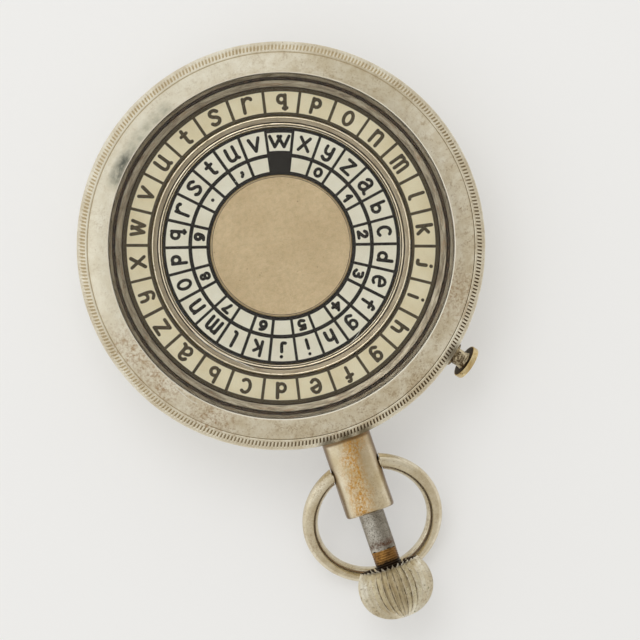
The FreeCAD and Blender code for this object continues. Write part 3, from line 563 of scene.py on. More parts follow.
@finish
def brass_disc(f):
    """Pale brushed brass with faint cloudy tarnish and pin pricks."""
    cloud = f.noise(0.22, 5, 0.55)
    f.ground(f.span(cloud, 0.35, 0.68), (210, 189, 154), (199, 177, 141))
    f.coat(f.patches((1.6, 6, 0.75), 0.42, 0.7, 0.7), (176, 158, 124))
    grain = f.noise(1.0, 3, 0.6, f.stretched(f.mm, (1.2, 18.0, 2.2), ROLL))
    f.coat(f.span(grain, 0.4, 0.75, 0.4), (186, 162, 122))
    f.coat(f.patches((8.0, 3, 0.7), 0.5, 0.75, 0.5), (226, 206, 170))
    prick = f.span(f.add("TexVoronoi", {"Vector": f.mm, "Scale": 1.1}), 0.1, 0.05, 0.8)
    f.coat(f.times(prick, f.patches((0.9, 3, 0.6), 0.5, 0.6)), (96, 74, 46))
    f.relief(grain, 0.006, 0.6)
    f.relief(f.noise(7.0, 3, 0.6), 0.006, 0.4)
    f.done(metallic=0.7, roughness=f.span(cloud, 0.3, 0.7, 0.58, 0.5))


def pendant_metal():
    """Nickel with a speckled orange stain down its upper side, painted shade underneath and near its root
    towards +X, and a painted shadow of the bezel's rim across its root.
    """
    f = worn_nickel("pendant_nickel", (242, 232, 208), (216, 200, 166), (156, 120, 74), 0.4, 0.45, 0.3)
    x, y, z = f.xyz()
    root = -high("bezel").x
    # Painted shade: darker near the root towards +X, where the bezel shades the tube.
    shade = f.times(f.span(y, root - 7.0, root - 1.0), f.span(x, -1.1, 0.2))
    f.coat(f.times(shade, 0.55), (164, 136, 92))
    middle = f.span(y, low("pendant_tube").y, root, 0.5, -1.1)
    waver = f.span(f.noise(0.4, 2, 0.5), 0.3, 0.7, 0.5, -0.5)
    off = f.calc("ADD", f.calc("SUBTRACT", x, middle), waver)
    streak = f.span(f.calc("ABSOLUTE", off), 1.9, 0.4)
    f.coat(f.times(streak, 0.25), (212, 178, 110))
    blotch = f.patches((3.0, 6, 0.8, f.stretched(f.mm, (1.0, 0.7, 1.0))), 0.47, 0.55, warp=0.5)
    f.coat(f.times(f.times(streak, blotch), 0.9), (202, 148, 62))
    f.coat(f.times(streak, f.patches((5.0, 5, 0.8), 0.52, 0.6, 0.8)), (168, 112, 42))
    # Painted shade along the lower sides, and a painted shadow of the bezel's rim across the root.
    under = f.span(z, AXIS_Z + 2.0, AXIS_Z + 1.2)
    ends = f.span(y, root - 0.45, root - 0.2)
    f.coat(f.times(f.calc("MAXIMUM", under, ends), 0.85), (118, 90, 58))
    return f.done()


def bow_metal():
    return worn_nickel("bow_nickel", (240, 231, 208), (212, 198, 168), (146, 112, 74), 0.5, 0.5, 0.24).done()


def crown_metal():
    """Bright on the ridges, with brown and a little green left in the pits."""
    f = worn_nickel("crown_nickel", (246, 242, 226), (222, 210, 182), NICKEL_BROWN, 0.5, 0.6, 0.3)
    f.coat(f.patches((2.4, 6, 0.85), 0.56, 0.66, 0.85), (112, 98, 72))
    f.coat(f.patches((1.1, 3, 0.6), 0.68, 0.74, 0.8), (98, 104, 50))
    return f.done()


@finish
def groove_dirt(f):
    f.ground(f.patches((1.0, 4, 0.7), 0.35, 0.65), (234, 226, 208), (206, 194, 166))
    f.coat(f.patches((3.6, 5, 0.8), 0.54, 0.64, 0.8), (112, 98, 66))
    f.relief(f.noise(5.0, 3, 0.7), 0.02, 0.5)
    f.done(metallic=0.95, roughness=0.36)


@finish
def groove_floor(f):
    """Dark dirt along the very bottom of a groove, broken where it wore away."""
    f.ground(f.patches((1.3, 5, 0.75), 0.4, 0.56), (186, 170, 136), (84, 68, 46))
    f.done(metallic=0.8, roughness=0.5)


@finish
def pitted_steel(f):
    """Grey steel with black pits, and a reddish ring of rust near its threaded end."""
    f.ground(f.patches((0.7, 4, 0.65), 0.35, 0.65), (206, 201, 190), (160, 153, 140))
    pit = f.noise(5.5, 5, 0.85)
    f.coat(f.span(pit, 0.5, 0.6, 0.9), (66, 60, 52))
    x, y, z = f.xyz()
    # Painted shade: the shaft darker towards +X, standing in for a dark reflection.
    f.coat(f.span(x, -0.4, 0.5, 0.5), (112, 105, 94))
    end = low("stem").y
    ring = f.times(f.span(y, end + 1.5, end + 1.0), f.span(y, end + 0.25, end + 0.6))
    f.coat(f.times(ring, f.patches((2.6, 5, 0.8), 0.42, 0.6)), (96, 66, 50))
    f.relief(pit, 0.015, 0.7)
    f.done(metallic=0.95, roughness=0.33)


@finish
def thread_brass(f):
    """Brown brass, darker towards +X as painted shade, and dark where it enters the crown as a painted shadow
    of the crown's wall.
    """
    f.ground(f.patches((1.6, 4, 0.7), 0.35, 0.65), (184, 136, 72), (104, 72, 38))
    x, y, z = f.xyz()
    # Painted shade: darker towards +X.
    f.coat(f.span(x, -0.1, 0.6, 0.5), (96, 66, 36))
    rim = high("crown").y
    waver = f.span(f.noise(2.4, 3, 0.7), 0.3, 0.7, 0.3, -0.3)
    # Painted shadow: dark where the brass enters the crown, under the crown's wall.
    f.coat(f.span(f.calc("ADD", f.span(y, rim + 0.9, rim + 0.1), waver), 0.1, 0.8), (44, 32, 20))
    f.relief(f.noise(9.0, 3, 0.7), 0.01, 0.6)
    f.done(metallic=0.9, roughness=0.32)


@finish
def polished_brass(f):
    f.ground(f.patches((1.2, 4, 0.6), 0.35, 0.65), (236, 218, 172), (206, 178, 124))
    f.relief(f.noise(6.0, 3, 0.6), 0.006, 0.5)
    f.done(metallic=1.0, roughness=0.22)


# Dark tarnish that also paints shade: it fills the crown's hollow, the side button's head underneath and the
# hidden ring gear's seam.
@finish
def tarnish_and_shade(f):
    f.ground(f.patches((2.2, 4, 0.7), 0.38, 0.62), (30, 25, 20), (78, 58, 36))
    f.relief(f.noise(5.0, 3, 0.6), 0.01, 0.6)
    f.done(metallic=0.7, roughness=0.5)


@finish
def mottled_shaft(f):
    f.ground(f.patches((1.1, 6, 0.8), 0.46, 0.56), (222, 208, 176), (96, 78, 54))
    f.relief(f.noise(6.0, 3, 0.6), 0.012, 0.6)
    f.done(metallic=0.9, roughness=0.4)


def inner_metal(name, tone, shade, gloss):
    """Machined inner part: turned marks and slight colour change."""
    f = Finish(name)
    f.ground(f.patches((0.4, 4, 0.6), 0.35, 0.65), tone, shade)
    grain = f.noise(1.0, 2, 0.5, f.stretched(f.mm, (1.5, 16.0, 1.5), 30))
    f.relief(grain, 0.004, 0.4)
    return f.done(metallic=1.0, roughness=f.span(grain, 0.3, 0.7, gloss + 0.06, gloss - 0.06))


@finish
def crystal_glass(f):
    """Clear glass, faintly hazy, that lets the lamps' light through to the letters."""
    haze = f.patches((0.25, 4, 0.6), 0.3, 0.75, 0.06, warp=0.5)
    f.set(base_color=(0.985, 0.985, 0.975, 1.0), roughness=haze, transmission_weight=1.0, ior=1.22)
    rays = f.rays()
    through = f.calc("MAXIMUM", rays["Is Shadow Ray"], rays["Is Diffuse Ray"])
    f.shared(through, f.add("BsdfTransparent", {"Color": (0.93, 0.93, 0.92, 1.0)}))


@finish
def glass_scratch(f):
    f.ground(f.noise(4.0, 3, 0.6), (236, 234, 224), (200, 196, 182))
    f.done(roughness=0.7)


BEZEL = bezel_metal()
COIN_EDGE = grooved_metal()
CASE_NICKEL = worn_nickel("case_nickel", NICKEL_PALE, (233, 223, 200), NICKEL_BROWN, 0.3, 0.5).done()
OUTER_PAPER = paper("outer_paper", (236, 227, 198), (224, 211, 176))
INNER_PAPER = paper("inner_paper", (236, 233, 218), (224, 219, 200))
OUTER_INK = ink("outer_ink", (66, 58, 44), (100, 88, 66))
INNER_INK = ink("inner_ink", (24, 21, 18), (52, 47, 40))
PENDANT = pendant_metal()
BOW = bow_metal()
CROWN = crown_metal()
MOVEMENT_BRASS = inner_metal("movement_brass", (214, 184, 120), (186, 152, 92), 0.3)
MOVEMENT_STEEL = inner_metal("movement_steel", (190, 190, 188), (160, 158, 154), 0.28)
SPRING_STEEL = inner_metal("spring_steel", (120, 128, 148), (84, 90, 108), 0.3)


# ---- case
def make_bezel():
    """Lip, coin-edge, bead, groove, slope and a burnished edge with a painted highlight, then the glass's
    seat inside.
    """
    lip_r, z0, crest_z = disc_box("bezel")
    lip_z0, lip_z1 = z0 + 0.2, z0 + 0.7
    slope_z = lip_z1 + 0.75
    knurl_low = lip_r - KNURL_RIM
    knurl_top = knurl_low - KNURL_RUN
    bead_at = knurl_top - 1.5 * BEAD_R
    groove_r = bead_at - BEAD_R
    open_r, seat_r = high("crystal").x - 0.6, high("crystal").x + 0.05
    glass_z = low("crystal").z
    in_r = high("rehaut_ring").x + 0.1
    neck_r = in_r + 0.85
    outline = rounded([(neck_r, z0), (lip_r - 0.75, z0), (lip_r - 0.1, lip_z0)], 0.1, closed=False)
    outline += [(lip_r - 0.02, lip_z0 + 0.1), (lip_r, (lip_z0 + lip_z1) / 2), (lip_r - 0.02, lip_z1 - 0.1),
                (lip_r - 0.09, lip_z1), (knurl_low + 0.03, lip_z1 + 0.02)]
    first_notch = len(outline)
    outline += [(blended(knurl_low, knurl_top, k / 8), blended(lip_z1 + 0.04, slope_z, k / 8))
                for k in range(9)]
    last_notch = len(outline) - 1
    outline += half_round(bead_at, slope_z, BEAD_R, 0.6)[1:-1]
    groove = len(outline) - 1
    outline += [(groove_r - 0.02, slope_z + 0.005), (groove_r - 0.07, slope_z + 0.03)]
    start = Vector((groove_r - 0.14, slope_z + 0.08))
    end = Vector((open_r + 0.26, crest_z - 0.02))
    outline += bezier(start, (start + end) / 2 + Vector((0.1, 0.28)), end, 14)
    crest = len(outline)
    outline += [(open_r + 0.17, crest_z), (open_r + 0.07, crest_z - 0.03), (open_r + 0.01, crest_z - 0.12),
                (open_r, crest_z - 0.25), (open_r, glass_z + 0.6), (seat_r, glass_z + 0.6),
                (seat_r, glass_z), (in_r, glass_z), (in_r, z0 + 0.95), (neck_r, z0 + 0.95)]
    segments = KNURL_COUNT * KNURL_STEPS

    def along(i):
        return (i - first_notch) / (last_notch - first_notch)

    def notched(i, turn, r, z):
        if not first_notch <= i <= last_notch:
            return r, z
        ends = smoothstep(0.0, 0.1, along(i)) * smoothstep(1.0, 0.88, along(i))
        wear = 0.86 + 0.14 * sin(turn * tau * 3 + 1.0) * sin(turn * tau * 7)
        cut = KNURL_DEPTH * KNURL_SHAPE[round(turn * segments) % KNURL_STEPS] * ends * wear
        return r - cut * 0.7, z - cut * 0.7

    # The crest takes the burnished edge with its painted highlight; the groove and the notch floors take the
    # coin-edge dirt with its painted light and shade.
    def tint(i, step):
        if crest <= i < crest + 3:
            return 3
        if i in (groove, groove + 1) or first_notch < i < last_notch - 1 and step in (3, 4):
            return 2
        return 1 if i < last_notch else 0

    verts, faces = lathe(outline, segments, shape=notched)
    for i in range(first_notch, last_notch + 1):
        slant = Matrix.Rotation(radians(KNURL_SLANT * (along(i) - 0.5)), 3, "Z")
        ring = slice(i * segments, (i + 1) * segments)
        verts[ring] = moved(verts[ring], slant)
    picks = [tint(i, k % KNURL_STEPS) for i in range(len(outline)) for k in range(segments)]
    return piece("bezel_ring", verts, faces, [BEZEL, COIN_EDGE, notch_dirt_and_shade, burnished_edge_and_highlight], picks, 28)


def make_crystal():
    """Glass with a flange under the bezel and a slightly domed top."""
    r, low_z, top_z = disc_box("crystal")
    clear_r = r - GLASS_RIM
    edge_z = top_z - GLASS_RISE
    dome_r = clear_r - 0.15
    outline = [(r * k / 8, low_z) for k in range(9)]
    outline += [(r, low_z + 0.6), (clear_r, low_z + 0.6), (clear_r, edge_z - 0.15),
                (clear_r - 0.06, edge_z - 0.04)]
    for k in range(12):
        rr = dome_r * (1 - k / 12)
        outline.append((rr, edge_z + GLASS_RISE * (1 - (rr / dome_r) ** 2)))
    outline.append((0, top_z))
    return turned("crystal_dome", outline, 192, [crystal_glass], sharp=30, closed=False)


def make_wall():
    """Stepped ring between the glass and the outer letters, dark in its creases and with a painted shadow
    along its outer edge under the bezel.
    """
    out_r, z0, z1 = disc_box("rehaut_ring")
    open_r = high("crystal").x - GLASS_RIM
    in_r = high("outer_letter_face").x + 0.1
    lip_r = in_r + 0.8
    outline = rounded([
        (in_r, z0, 0), (in_r, z0 + 0.4, 0.04), (in_r + 0.3, z0 + 0.5, 0.1), (lip_r, z0 + 0.62, 0.06),
        (lip_r + 0.08, z0 + 0.42, 0.05), (lip_r + 0.34, z0 + 0.44, 0.05), (lip_r + 0.42, z0 + 1.02, 0.06),
        (lip_r + 0.62, z0 + 1.14, 0.05), (open_r - 0.06, z0 + 1.3, 0.05), (open_r, z0 + 1.5, 0),
        (open_r, z1, 0), (out_r, z1, 0), (out_r, z0, 0)], 0.05)
    # Dark colour at the inner foot and in the groove beside the lip; at the outer edge, under the bezel, it
    # is a painted shadow.
    tints = []
    for i, point in enumerate(outline):
        r = (point[0] + outline[(i + 1) % len(outline)][0]) / 2
        tints.append(int(r < in_r + 0.05 or lip_r + 0.06 < r < lip_r + 0.38 or r > open_r - 0.12))
    return turned("letter_well_wall", outline, 256, [wall_metal, dark_crease], tints)


def make_divider():
    """Ring between the letters: a bead, a flat band, a dark crease, a thin bead, a groove and a fine
    ridge."""
    out_r, z0, top = disc_box("divider_ring")
    in_r = out_r - 1.3
    band = FACE_Z + 0.12
    floor = band - 0.16
    outline = [(in_r, z0), (out_r, z0), *half_round(out_r - 0.125, top - 0.125, 0.125),
               (out_r - 0.27, band + 0.04), (out_r - 0.7, band), (out_r - 0.72, floor), (out_r - 0.82, floor),
               *half_round(out_r - 0.96, band - 0.06, 0.12), (out_r - 1.09, floor), (out_r - 1.17, floor),
               *half_round(in_r + 0.055, band - 0.12, 0.055)]
    tints = [0] * 10 + [2, 2, 1, 1, 1] + [0] * 8 + [1, 1, 1] + [0] * 9
    return turned("divider_band", outline, 256, [divider_metal, dark_crease, divider_band_metal], tints)


# ---- letter rings
def ring_grid(name, radii, z0, start, kinds, materials, seed):
    """Flat ring of printed cells. radii are the print's borders from the inside out, and
    kinds(cell, band) is the material of a cell's band. The lines between cells are ink, 0."""
    rng = random.Random(seed)
    half = 180 / CELLS
    columns = []
    for cell in range(CELLS):
        wobble = [rng.uniform(-0.02, 0.02) for _ in range(2)]
        columns += [(cell, step / CELL_STEPS * 2 - 1, wobble) for step in range(CELL_STEPS + 1)]
    verts, faces, picks = [], [], []
    for cell, t, wobble in columns:
        for r in radii:
            line = CELL_LINE / 2 + wobble[0 if t < 0 else 1]
            edge = half - degrees(line / r)
            angle = radians(90 - (start + 360 / CELLS * cell + edge * t))
            verts.append((r * cos(angle), r * sin(angle), FACE_Z))
    count, row = len(columns), len(radii)
    bands = row - 1
    for c in range(count):
        n = (c + 1) % count
        line = columns[c][0] != columns[n][0]
        for b in range(bands):
            a, d = c * row + b, n * row + b
            faces.append((a, d, d + 1, a + 1))
            picks.append(0 if line else kinds(columns[c][0], b))
    top = len(verts)
    for c in range(count):
        verts += [(*verts[i][:2], z0) for i in (c * row, c * row + bands)]
    for c in range(count):
        n = (c + 1) % count
        a, d = top + 2 * c, top + 2 * n
        inner_a, inner_d = c * row, n * row
        faces += [(inner_a, a, d, inner_d), (inner_a + bands, inner_d + bands, d + 1, a + 1),
                  (a, a + 1, d + 1, d)]
        picks += [0, 0, 0]
    return piece(name, verts, faces, materials, picks, 30)


def arc(cx, cy, rx, ry, start, end, steps=10):
    bends = [radians(blended(start, end, k / steps)) for k in range(steps + 1)]
    return [(cx + rx * cos(bend), cy + ry * sin(bend)) for bend in bends]


def smooth(points, steps=5):
    """Curve through the points."""
    result = []
    pts = [Vector(p) for p in points]
    pts = [pts[0] * 2 - pts[1]] + pts + [pts[-1] * 2 - pts[-2]]
    for i in range(1, len(pts) - 2):
        p0, p1, p2, p3 = pts[i - 1:i + 3]
        for k in range(steps):
            t = k / steps
            result.append(tuple(((p1 * 2) + (p2 - p0) * t + (p0 * 2 - p1 * 5 + p2 * 4 - p3) * t ** 2
                                 + (p1 * 3 - p0 - p2 * 3 + p3) * t ** 3) / 2))
    result.append(tuple(pts[-2]))
    return result


# Hand-lettered alphabet in tenths of a unit: small letters span -50..50 up and down, tall ones reach
# 64. Two points make a straight stroke, and more make a curve through them. "o" makes an arc from its
# centre, its radii, the angles of its ends and, where it isn't 10, its number of steps.
GLYPHS = {
    "a": "-24,32 -12,47 8,49 20,36 21,12 21,-26 28,-44 40,-49 / "
         "20,10 -6,6 -26,-8 -28,-32 -14,-48 6,-44 20,-26",
    "b": "-25,63 -25,-44 / o 1,-17 27,31 130,-150",
    "c": "o 3,0 30,47 52,312",
    "d": "25,63 26,-49 / o -2,-16 27,32 40,322",
    "e": "-26,-4 24,12 / o 0,0 29,48 14,315",
    "f": "20,57 9,61 0,46 -2,15 -2,-52 / -23,19 21,23",
    "g": "o -2,18 25,31 35,330 / 24,48 24,-16 20,-44 0,-60 -27,-45",
    "h": "-25,63 -25,-50 / -25,3 -8,21 14,20 25,4 26,-50",
    "i": "0,14 1,-52 / 1,55 1.5,56",
    "j": "8,16 8,-34 2,-52 -18,-52 / 10,56 10.5,57",
    "k": "-23,62 -24,-52 / 25,30 -20,-7 / -9,2 27,-52",
    "l": "-3,62 -4,-36 2,-52 12,-56",
    "m": "-42,47 -42,-49 / -42,26 -26,46 -8,44 -1,26 0,-49 / 0,26 15,46 34,44 41,26 42,-49",
    "n": "-25,48 -25,-49 / -25,24 -8,45 14,45 24,28 25,-49",
    "o": "o 0,0 27,48 90,450 20",
    "p": "-24,50 -25,-62 / o 1,18 26,31 145,-145",
    "q": "23,50 24,-60 / o -2,18 26,31 35,325 / 14,-53 36,-50",
    "r": "-20,49 -22,-50 / -21,18 -8,41 12,50 30,42 32,35",
    "s": "29,34 12,49 -14,46 -22,27 -10,9 14,-6 24,-26 10,-47 -16,-49 -30,-36",
    "t": "0,62 -1,-30 4,-48 18,-53 / -24,25 23,28",
    "u": "-26,48 -27,-16 -21,-43 -4,-50 16,-42 26,-24 / 26,48 26,-30 32,-48 36,-49",
    "v": "-32,47 -1,-46 / -1,-46 33,47",
    "w": "-50,45 -24,-44 / -24,-44 7,45 / -7,45 24,-44 / 24,-44 50,45",
    "x": "-30,48 32,-48 / 30,48 -32,-48",
    "y": "-24,49 -25,16 -16,-6 6,-9 24,8 / 25,49 25,-28 16,-54 -6,-60 -26,-46",
    "z": "-27,46 28,46 / 28,46 -30,-47 / -30,-47 32,-47",
    "0": "o 0,0 34,40 90,450 20",
    "1": "6,46 6,-46 / 6,44 -20,8",
    "2": "-30,26 -16,44 12,46 28,28 16,2 -32,-43 / -32,-43 34,-43",
    "3": "-28,42 4,46 24,34 20,12 -4,4 / -4,4 24,0 32,-20 20,-42 -10,-46 -34,-32",
    "4": "10,48 -36,-12 / -36,-12 40,-12 / 12,16 12,-48",
    "5": "-24,44 28,44 / -24,44 -26,6 / -26,6 4,12 28,-2 28,-30 6,-48 -28,-38",
    "6": "24,44 -6,36 -28,8 -30,-20 / o 0,-16 30,29 90,450 16",
    "7": "-32,44 32,44 / 32,44 8,8 -12,-46",
    "8": "o 0,23 22,21 90,450 14 / o 0,-22 29,24 90,450 14",
    "9": "o 0,16 29,29 90,450 16 / 29,16 26,-16 8,-42 -24,-46",
    ".": "-1,0 1,0",
    ",": "2,13 3,15 / 8,14 7,-8 -10,-26",
}


def stroke_points(stroke):
    """Points along one stroke of GLYPHS."""
    words = stroke.replace(",", " ").split()
    if words[0] == "o":
        sizes = [float(word) / 10 for word in words[1:5]]
        return arc(*sizes, *(int(word) for word in words[5:]))
    values = [float(word) / 10 for word in words]
    points = list(zip(values[::2], values[1::2]))
    return smooth(points) if len(points) > 2 else points


def pen_stroke(points, width, verts, faces):
    """Low rounded ridge of ink along a line on the face, with round ends."""
    path = [Vector(p) for p in points]
    rings = []
    for i, point in enumerate(path):
        ahead = path[min(i + 1, len(path) - 1)] - path[max(i - 1, 0)]
        along = ahead.normalized() if ahead.length else Vector((0, 1))
        rings.append((point, along, 1.0))
    (first, first_along, _), (last, last_along, _) = rings[0], rings[-1]
    bends = [radians(28 * k) for k in (1, 2, 3)]
    cap = [(sin(bend) * width / 2, cos(bend)) for bend in bends]
    rings = ([(first - first_along * out, first_along, wide) for out, wide in reversed(cap)] + rings
             + [(last + last_along * out, last_along, wide) for out, wide in cap])
    faces += tube_faces(len(verts), len(rings), INK_SECTION)
    for point, along, wide in rings:
        across = Vector((-along.y, along.x))
        for s in range(INK_SECTION):
            bend = tau * s / INK_SECTION
            side = point + across * (cos(bend) * width / 2 * wide)
            verts.append((side.x, side.y, FACE_Z + sin(bend) * INK_HEIGHT * wide))


def lettering(name, marks, material, seed):
    """marks: (sign, distance from the centre, clockwise angle, small letter's height, widening, pen)."""
    rng = random.Random(seed)
    verts, faces = [], []
    for sign, r, angle, height, wide, pen in marks:
        size = height / 10
        lean = rng.uniform(-1.6, 1.6)
        turn = Matrix.Rotation(radians(-angle + lean), 2)
        centre = Vector((r * sin(radians(angle)), r * cos(radians(angle))))
        shift = Vector((rng.uniform(-0.05, 0.05), rng.uniform(-0.04, 0.04)))
        for stroke in GLYPHS[sign].split(" / "):
            points = [centre + turn @ (Vector((x * wide, y)) * size + shift)
                      for x, y in stroke_points(stroke)]
            pen_stroke(points, pen * rng.uniform(0.94, 1.06), verts, faces)
    return piece(name, verts, faces, [material], sharp=60)


def make_outer_ring():
    radii = (*OUTER_BORDERS, high("outer_letter_face").x)
    face = ring_grid("outer_letter_print", radii, low("outer_letter_face").z, OUTER_START,
                     lambda cell, band: int(band == 1), [OUTER_INK, OUTER_PAPER], 3)
    place(face, "letter_ring", "letter_face", "outer_letter_face")
    marks = []
    for i, sign in enumerate(OUTER_TOP):
        height = 1.62 if sign in TALL else 1.78
        wide = 1.0 if sign in "mw" else 1.12
        marks.append((sign, OUTER_LETTER_R, OUTER_START + 360 / CELLS * i, height, wide, OUTER_PEN))
    place(lettering("outer_letters", marks, OUTER_INK, 5), "letter_ring", "letter_face")


def make_inner_ring():
    radii = (high("centre_disc").x + 0.05, *INNER_BORDERS, high("inner_letter_face").x)

    def kinds(cell, band):
        return int(band in ((1, 3, 4, 5) if cell else (4,)))

    face = ring_grid("inner_letter_print", radii, low("inner_letter_face").z, INNER_START, kinds,
                     [INNER_INK, INNER_PAPER], 7)
    place(face, "letter_disc", "letter_face", "inner_letter_face")
    marks = []
    for i, sign in enumerate(INNER_TOP):
        angle = INNER_START + 360 / CELLS * i
        height, wide = (1.6, 1.12) if sign in TALL else (1.7, 1.16)
        if sign == "w":
            height, wide = 1.5, 1.65
        elif sign == "m":
            wide = 1.0
        marks.append((sign, INNER_LETTER_R, angle, height, wide, INNER_PEN))
        if i in FIGURES:
            pen = COMMA_PEN if FIGURES[i] == "," else FIGURE_PEN
            marks.append((FIGURES[i], FIGURE_R, angle, 1.2, 1.0, pen))
    place(lettering("inner_letters", marks, INNER_INK, 11), "letter_disc", "letter_face")


def make_centre_disc():
    """Flat disc with a fine turned line just inside its bevelled edge."""
    r, z0, z1 = disc_box("centre_disc")
    line_r = r - 0.2
    outline = [(0, z0), (r, z0), (r, z1 - 0.1), (r - 0.03, z1 - 0.04), (r - 0.08, z1), (line_r + 0.04, z1),
               (line_r + 0.03, z1 - 0.05), (line_r - 0.03, z1 - 0.05)]
    outline += [((line_r - 0.04) * (1 - k / 10), z1) for k in range(11)]
    tints = [0] * 5 + [1] * 3 + [0] * 10
    return turned("centre_plate", outline, 160, [brass_disc, dark_crease], tints, sharp=30, closed=False)


# ---- pendant, bow, plunger
def make_pendant():
    """Tube with a flared root and a worn end, bored right through."""
    _, end, r = pendant_reach("pendant_tube")
    root = high("case_band").x
    inner_r = high("stem").x + 0.1
    bore_r = high("stem_end").x + 0.05
    outline = [(inner_r, root - 0.4), (r * 0.9, root - 0.4), (r + 0.1, root - 0.25), (r + 0.02, root + 0.25),
               (r, root + 0.6), *((r, root + 2 + k * 2) for k in range(4)),
               (r + 0.01, end - 0.7), (r, end - 0.35), (r - 0.07, end - 0.14), (r - 0.22, end - 0.03),
               (r - 0.42, end), (bore_r + 0.06, end), (bore_r, end - 0.08), (bore_r, end - 3.0),
               (inner_r, end - 3.0)]

    def dented(i, turn, rr, z):
        wave = 0.012 * sin(turn * tau * 5 + z * 0.7) + 0.008 * sin(turn * tau * 9 - z)
        return rr + wave * smoothstep(root, root + 2, z) * (1 if rr > r * 0.8 else 0), z

    return turned("pendant_sleeve", outline, 128, [PENDANT], matrix=pendant_matrix(), shape=dented)


def make_bow():
    """Wire ring cut flush beside the tube, on two pins, hanging from its pivot down to the table."""
    pivot = Vector(joint("bow_swing")["pos_m"]) / MM
    bow_r = high("bow").x - BOW_WIRE_R
    ahead = pivot.y - low("bow").y - BOW_WIRE_R
    drop = pivot.z - low("bow").z - BOW_WIRE_R
    reach = hypot(ahead, drop) - bow_r
    turn = Matrix.Rotation(atan2(drop, ahead), 3, "X")
    cheek = high("pendant_tube").x + BOW_GAP
    start = asin(cheek / bow_r)
    clear = asin((cheek + 0.03) / (bow_r - BOW_WIRE_R))
    pin_r, pin_in = 0.72, cheek - 0.7
    steps, ring = 120, 28
    verts = []

    def pin(x):
        for s in range(ring):
            bend = tau * s / ring
            spot = Vector((x, cos(bend) * pin_r * copysign(1, x), sin(bend) * pin_r))
            verts.append(tuple(turn @ spot + pivot))

    def wire(angle, cut=None):
        """Section of the ring at an angle, or carried on along the wire to a cut beside the tube."""
        out = Vector((cos(angle), sin(angle), 0))
        along = Vector((-out.y, out.x, 0))
        for s in range(ring):
            bend = tau * s / ring
            spot = Vector((0, -reach, 0)) + out * (bow_r - cos(bend) * BOW_WIRE_R)
            if cut is not None:
                spot += along * ((cut - spot.x) / along.x)
            spot.z = sin(bend) * BOW_WIRE_R
            verts.append(tuple(turn @ spot + pivot))

    pin(-pin_in)
    pin(0.01 - cheek)
    wire(pi / 2 + start, -cheek)
    for i in range(steps + 1):
        wire(pi / 2 + clear + (tau - 2 * clear) * i / steps)
    wire(pi / 2 - start, cheek)
    pin(cheek - 0.01)
    pin(pin_in)
    faces = tube_faces(0, len(verts) // ring, ring, flip=True)
    return piece("bow_ring_wire", verts, faces, [BOW], sharp=50)


def make_stem():
    """Steel shaft with its stop collar. Its bare end is ragged where the brass begins."""
    r = high("stem_end").x
    start, end, collar_r = pendant_reach("stem")
    collar = start + COLLAR_AT
    outline = [(0, start), (SHANK_TIP_R, start), (SHANK_TIP_R, start + 0.6), (SHANK_R, start + 0.62),
               (SHANK_R, collar), (collar_r, collar), (collar_r, collar + COLLAR_W), (r, collar + COLLAR_W),
               *((r, end - 10 + k) for k in range(10)),
               (r, end - 0.3), (r - 0.02, end - 0.02), (r - 0.05, end), (0, end)]

    def ragged(i, turn, rr, z):
        wave = 0.14 * sin(turn * tau * 7) * sin(turn * tau * 3 + 0.6)
        return rr, z + (wave if z > end - 0.25 else 0)

    return turned("steel_shaft", outline, 96, [pitted_steel], matrix=pendant_matrix(), sharp=40, closed=False,
                  shape=ragged)


def make_stem_end():
    start, end, r = pendant_reach("stem_end")
    per_pitch = 6
    rows = int((end - start) / THREAD_PITCH * per_pitch)
    outline = [(0, start)] + [(r, blended(start, end, k / rows)) for k in range(rows + 1)] + [(0, end)]

    def threaded(i, turn, rr, z):
        wave = (z / THREAD_PITCH - turn) % 1.0
        return rr - THREAD_DEPTH * (1 - abs(2 * wave - 1)) * smoothstep(start, start + 0.15, z), z

    return turned("threaded_end", outline, 64, [thread_brass], matrix=pendant_matrix(), sharp=55,
                  closed=False, shape=threaded)


def make_crown():
    """Fluted crown with a hollow for the shaft, toothed at its rim."""
    rim, end, r = pendant_reach("crown")
    length = end - rim
    profile = smooth([(0.0, CROWN_MOUTH), (0.1, 0.885), (0.24, 0.97), (0.42, 1.0), (0.58, 0.965),
                      (0.72, 0.87), (0.84, 0.72), (0.93, 0.52), (0.98, 0.32), (1.0, 0.14)], 4)
    mouth_r = r * CROWN_MOUTH - FLUTE_DEPTH
    cavity = [(0, rim + 2.2), (3.2, rim + 2.2), (3.25, rim + 1.2), (mouth_r - 0.1, rim + 0.1),
              (mouth_r - 0.04, rim)]
    first = len(cavity)
    outline = cavity + [(r * wide, rim + length * along) for along, wide in profile] + [(0, end)]
    steps = len(FLUTE_TINTS)
    segments = FLUTES * steps

    def fluted(i, turn, rr, z):
        hollow = abs(cos(pi * turn * FLUTES)) ** 0.75
        bite = TOOTH_LENGTH * hollow * (1 - smoothstep(rim, rim + 0.25 * length, z))
        if i < first:
            return rr, z + (bite if i >= first - 2 else 0)
        return rr - FLUTE_DEPTH * hollow * min(1.0, rr / (r * 0.5)), z + bite

    verts, faces = lathe(outline, segments, closed=False, shape=fluted)
    # The hollow behind the rim takes the dark tarnish, which also paints its shade.
    picks = [2 if i < first else FLUTE_TINTS[k % steps]
             for i in range(len(outline) - 1) for k in range(segments)]
    return piece("fluted_crown", moved(verts, pendant_matrix()), faces,
                 [CROWN, groove_dirt, tarnish_and_shade, groove_floor], picks, 30)


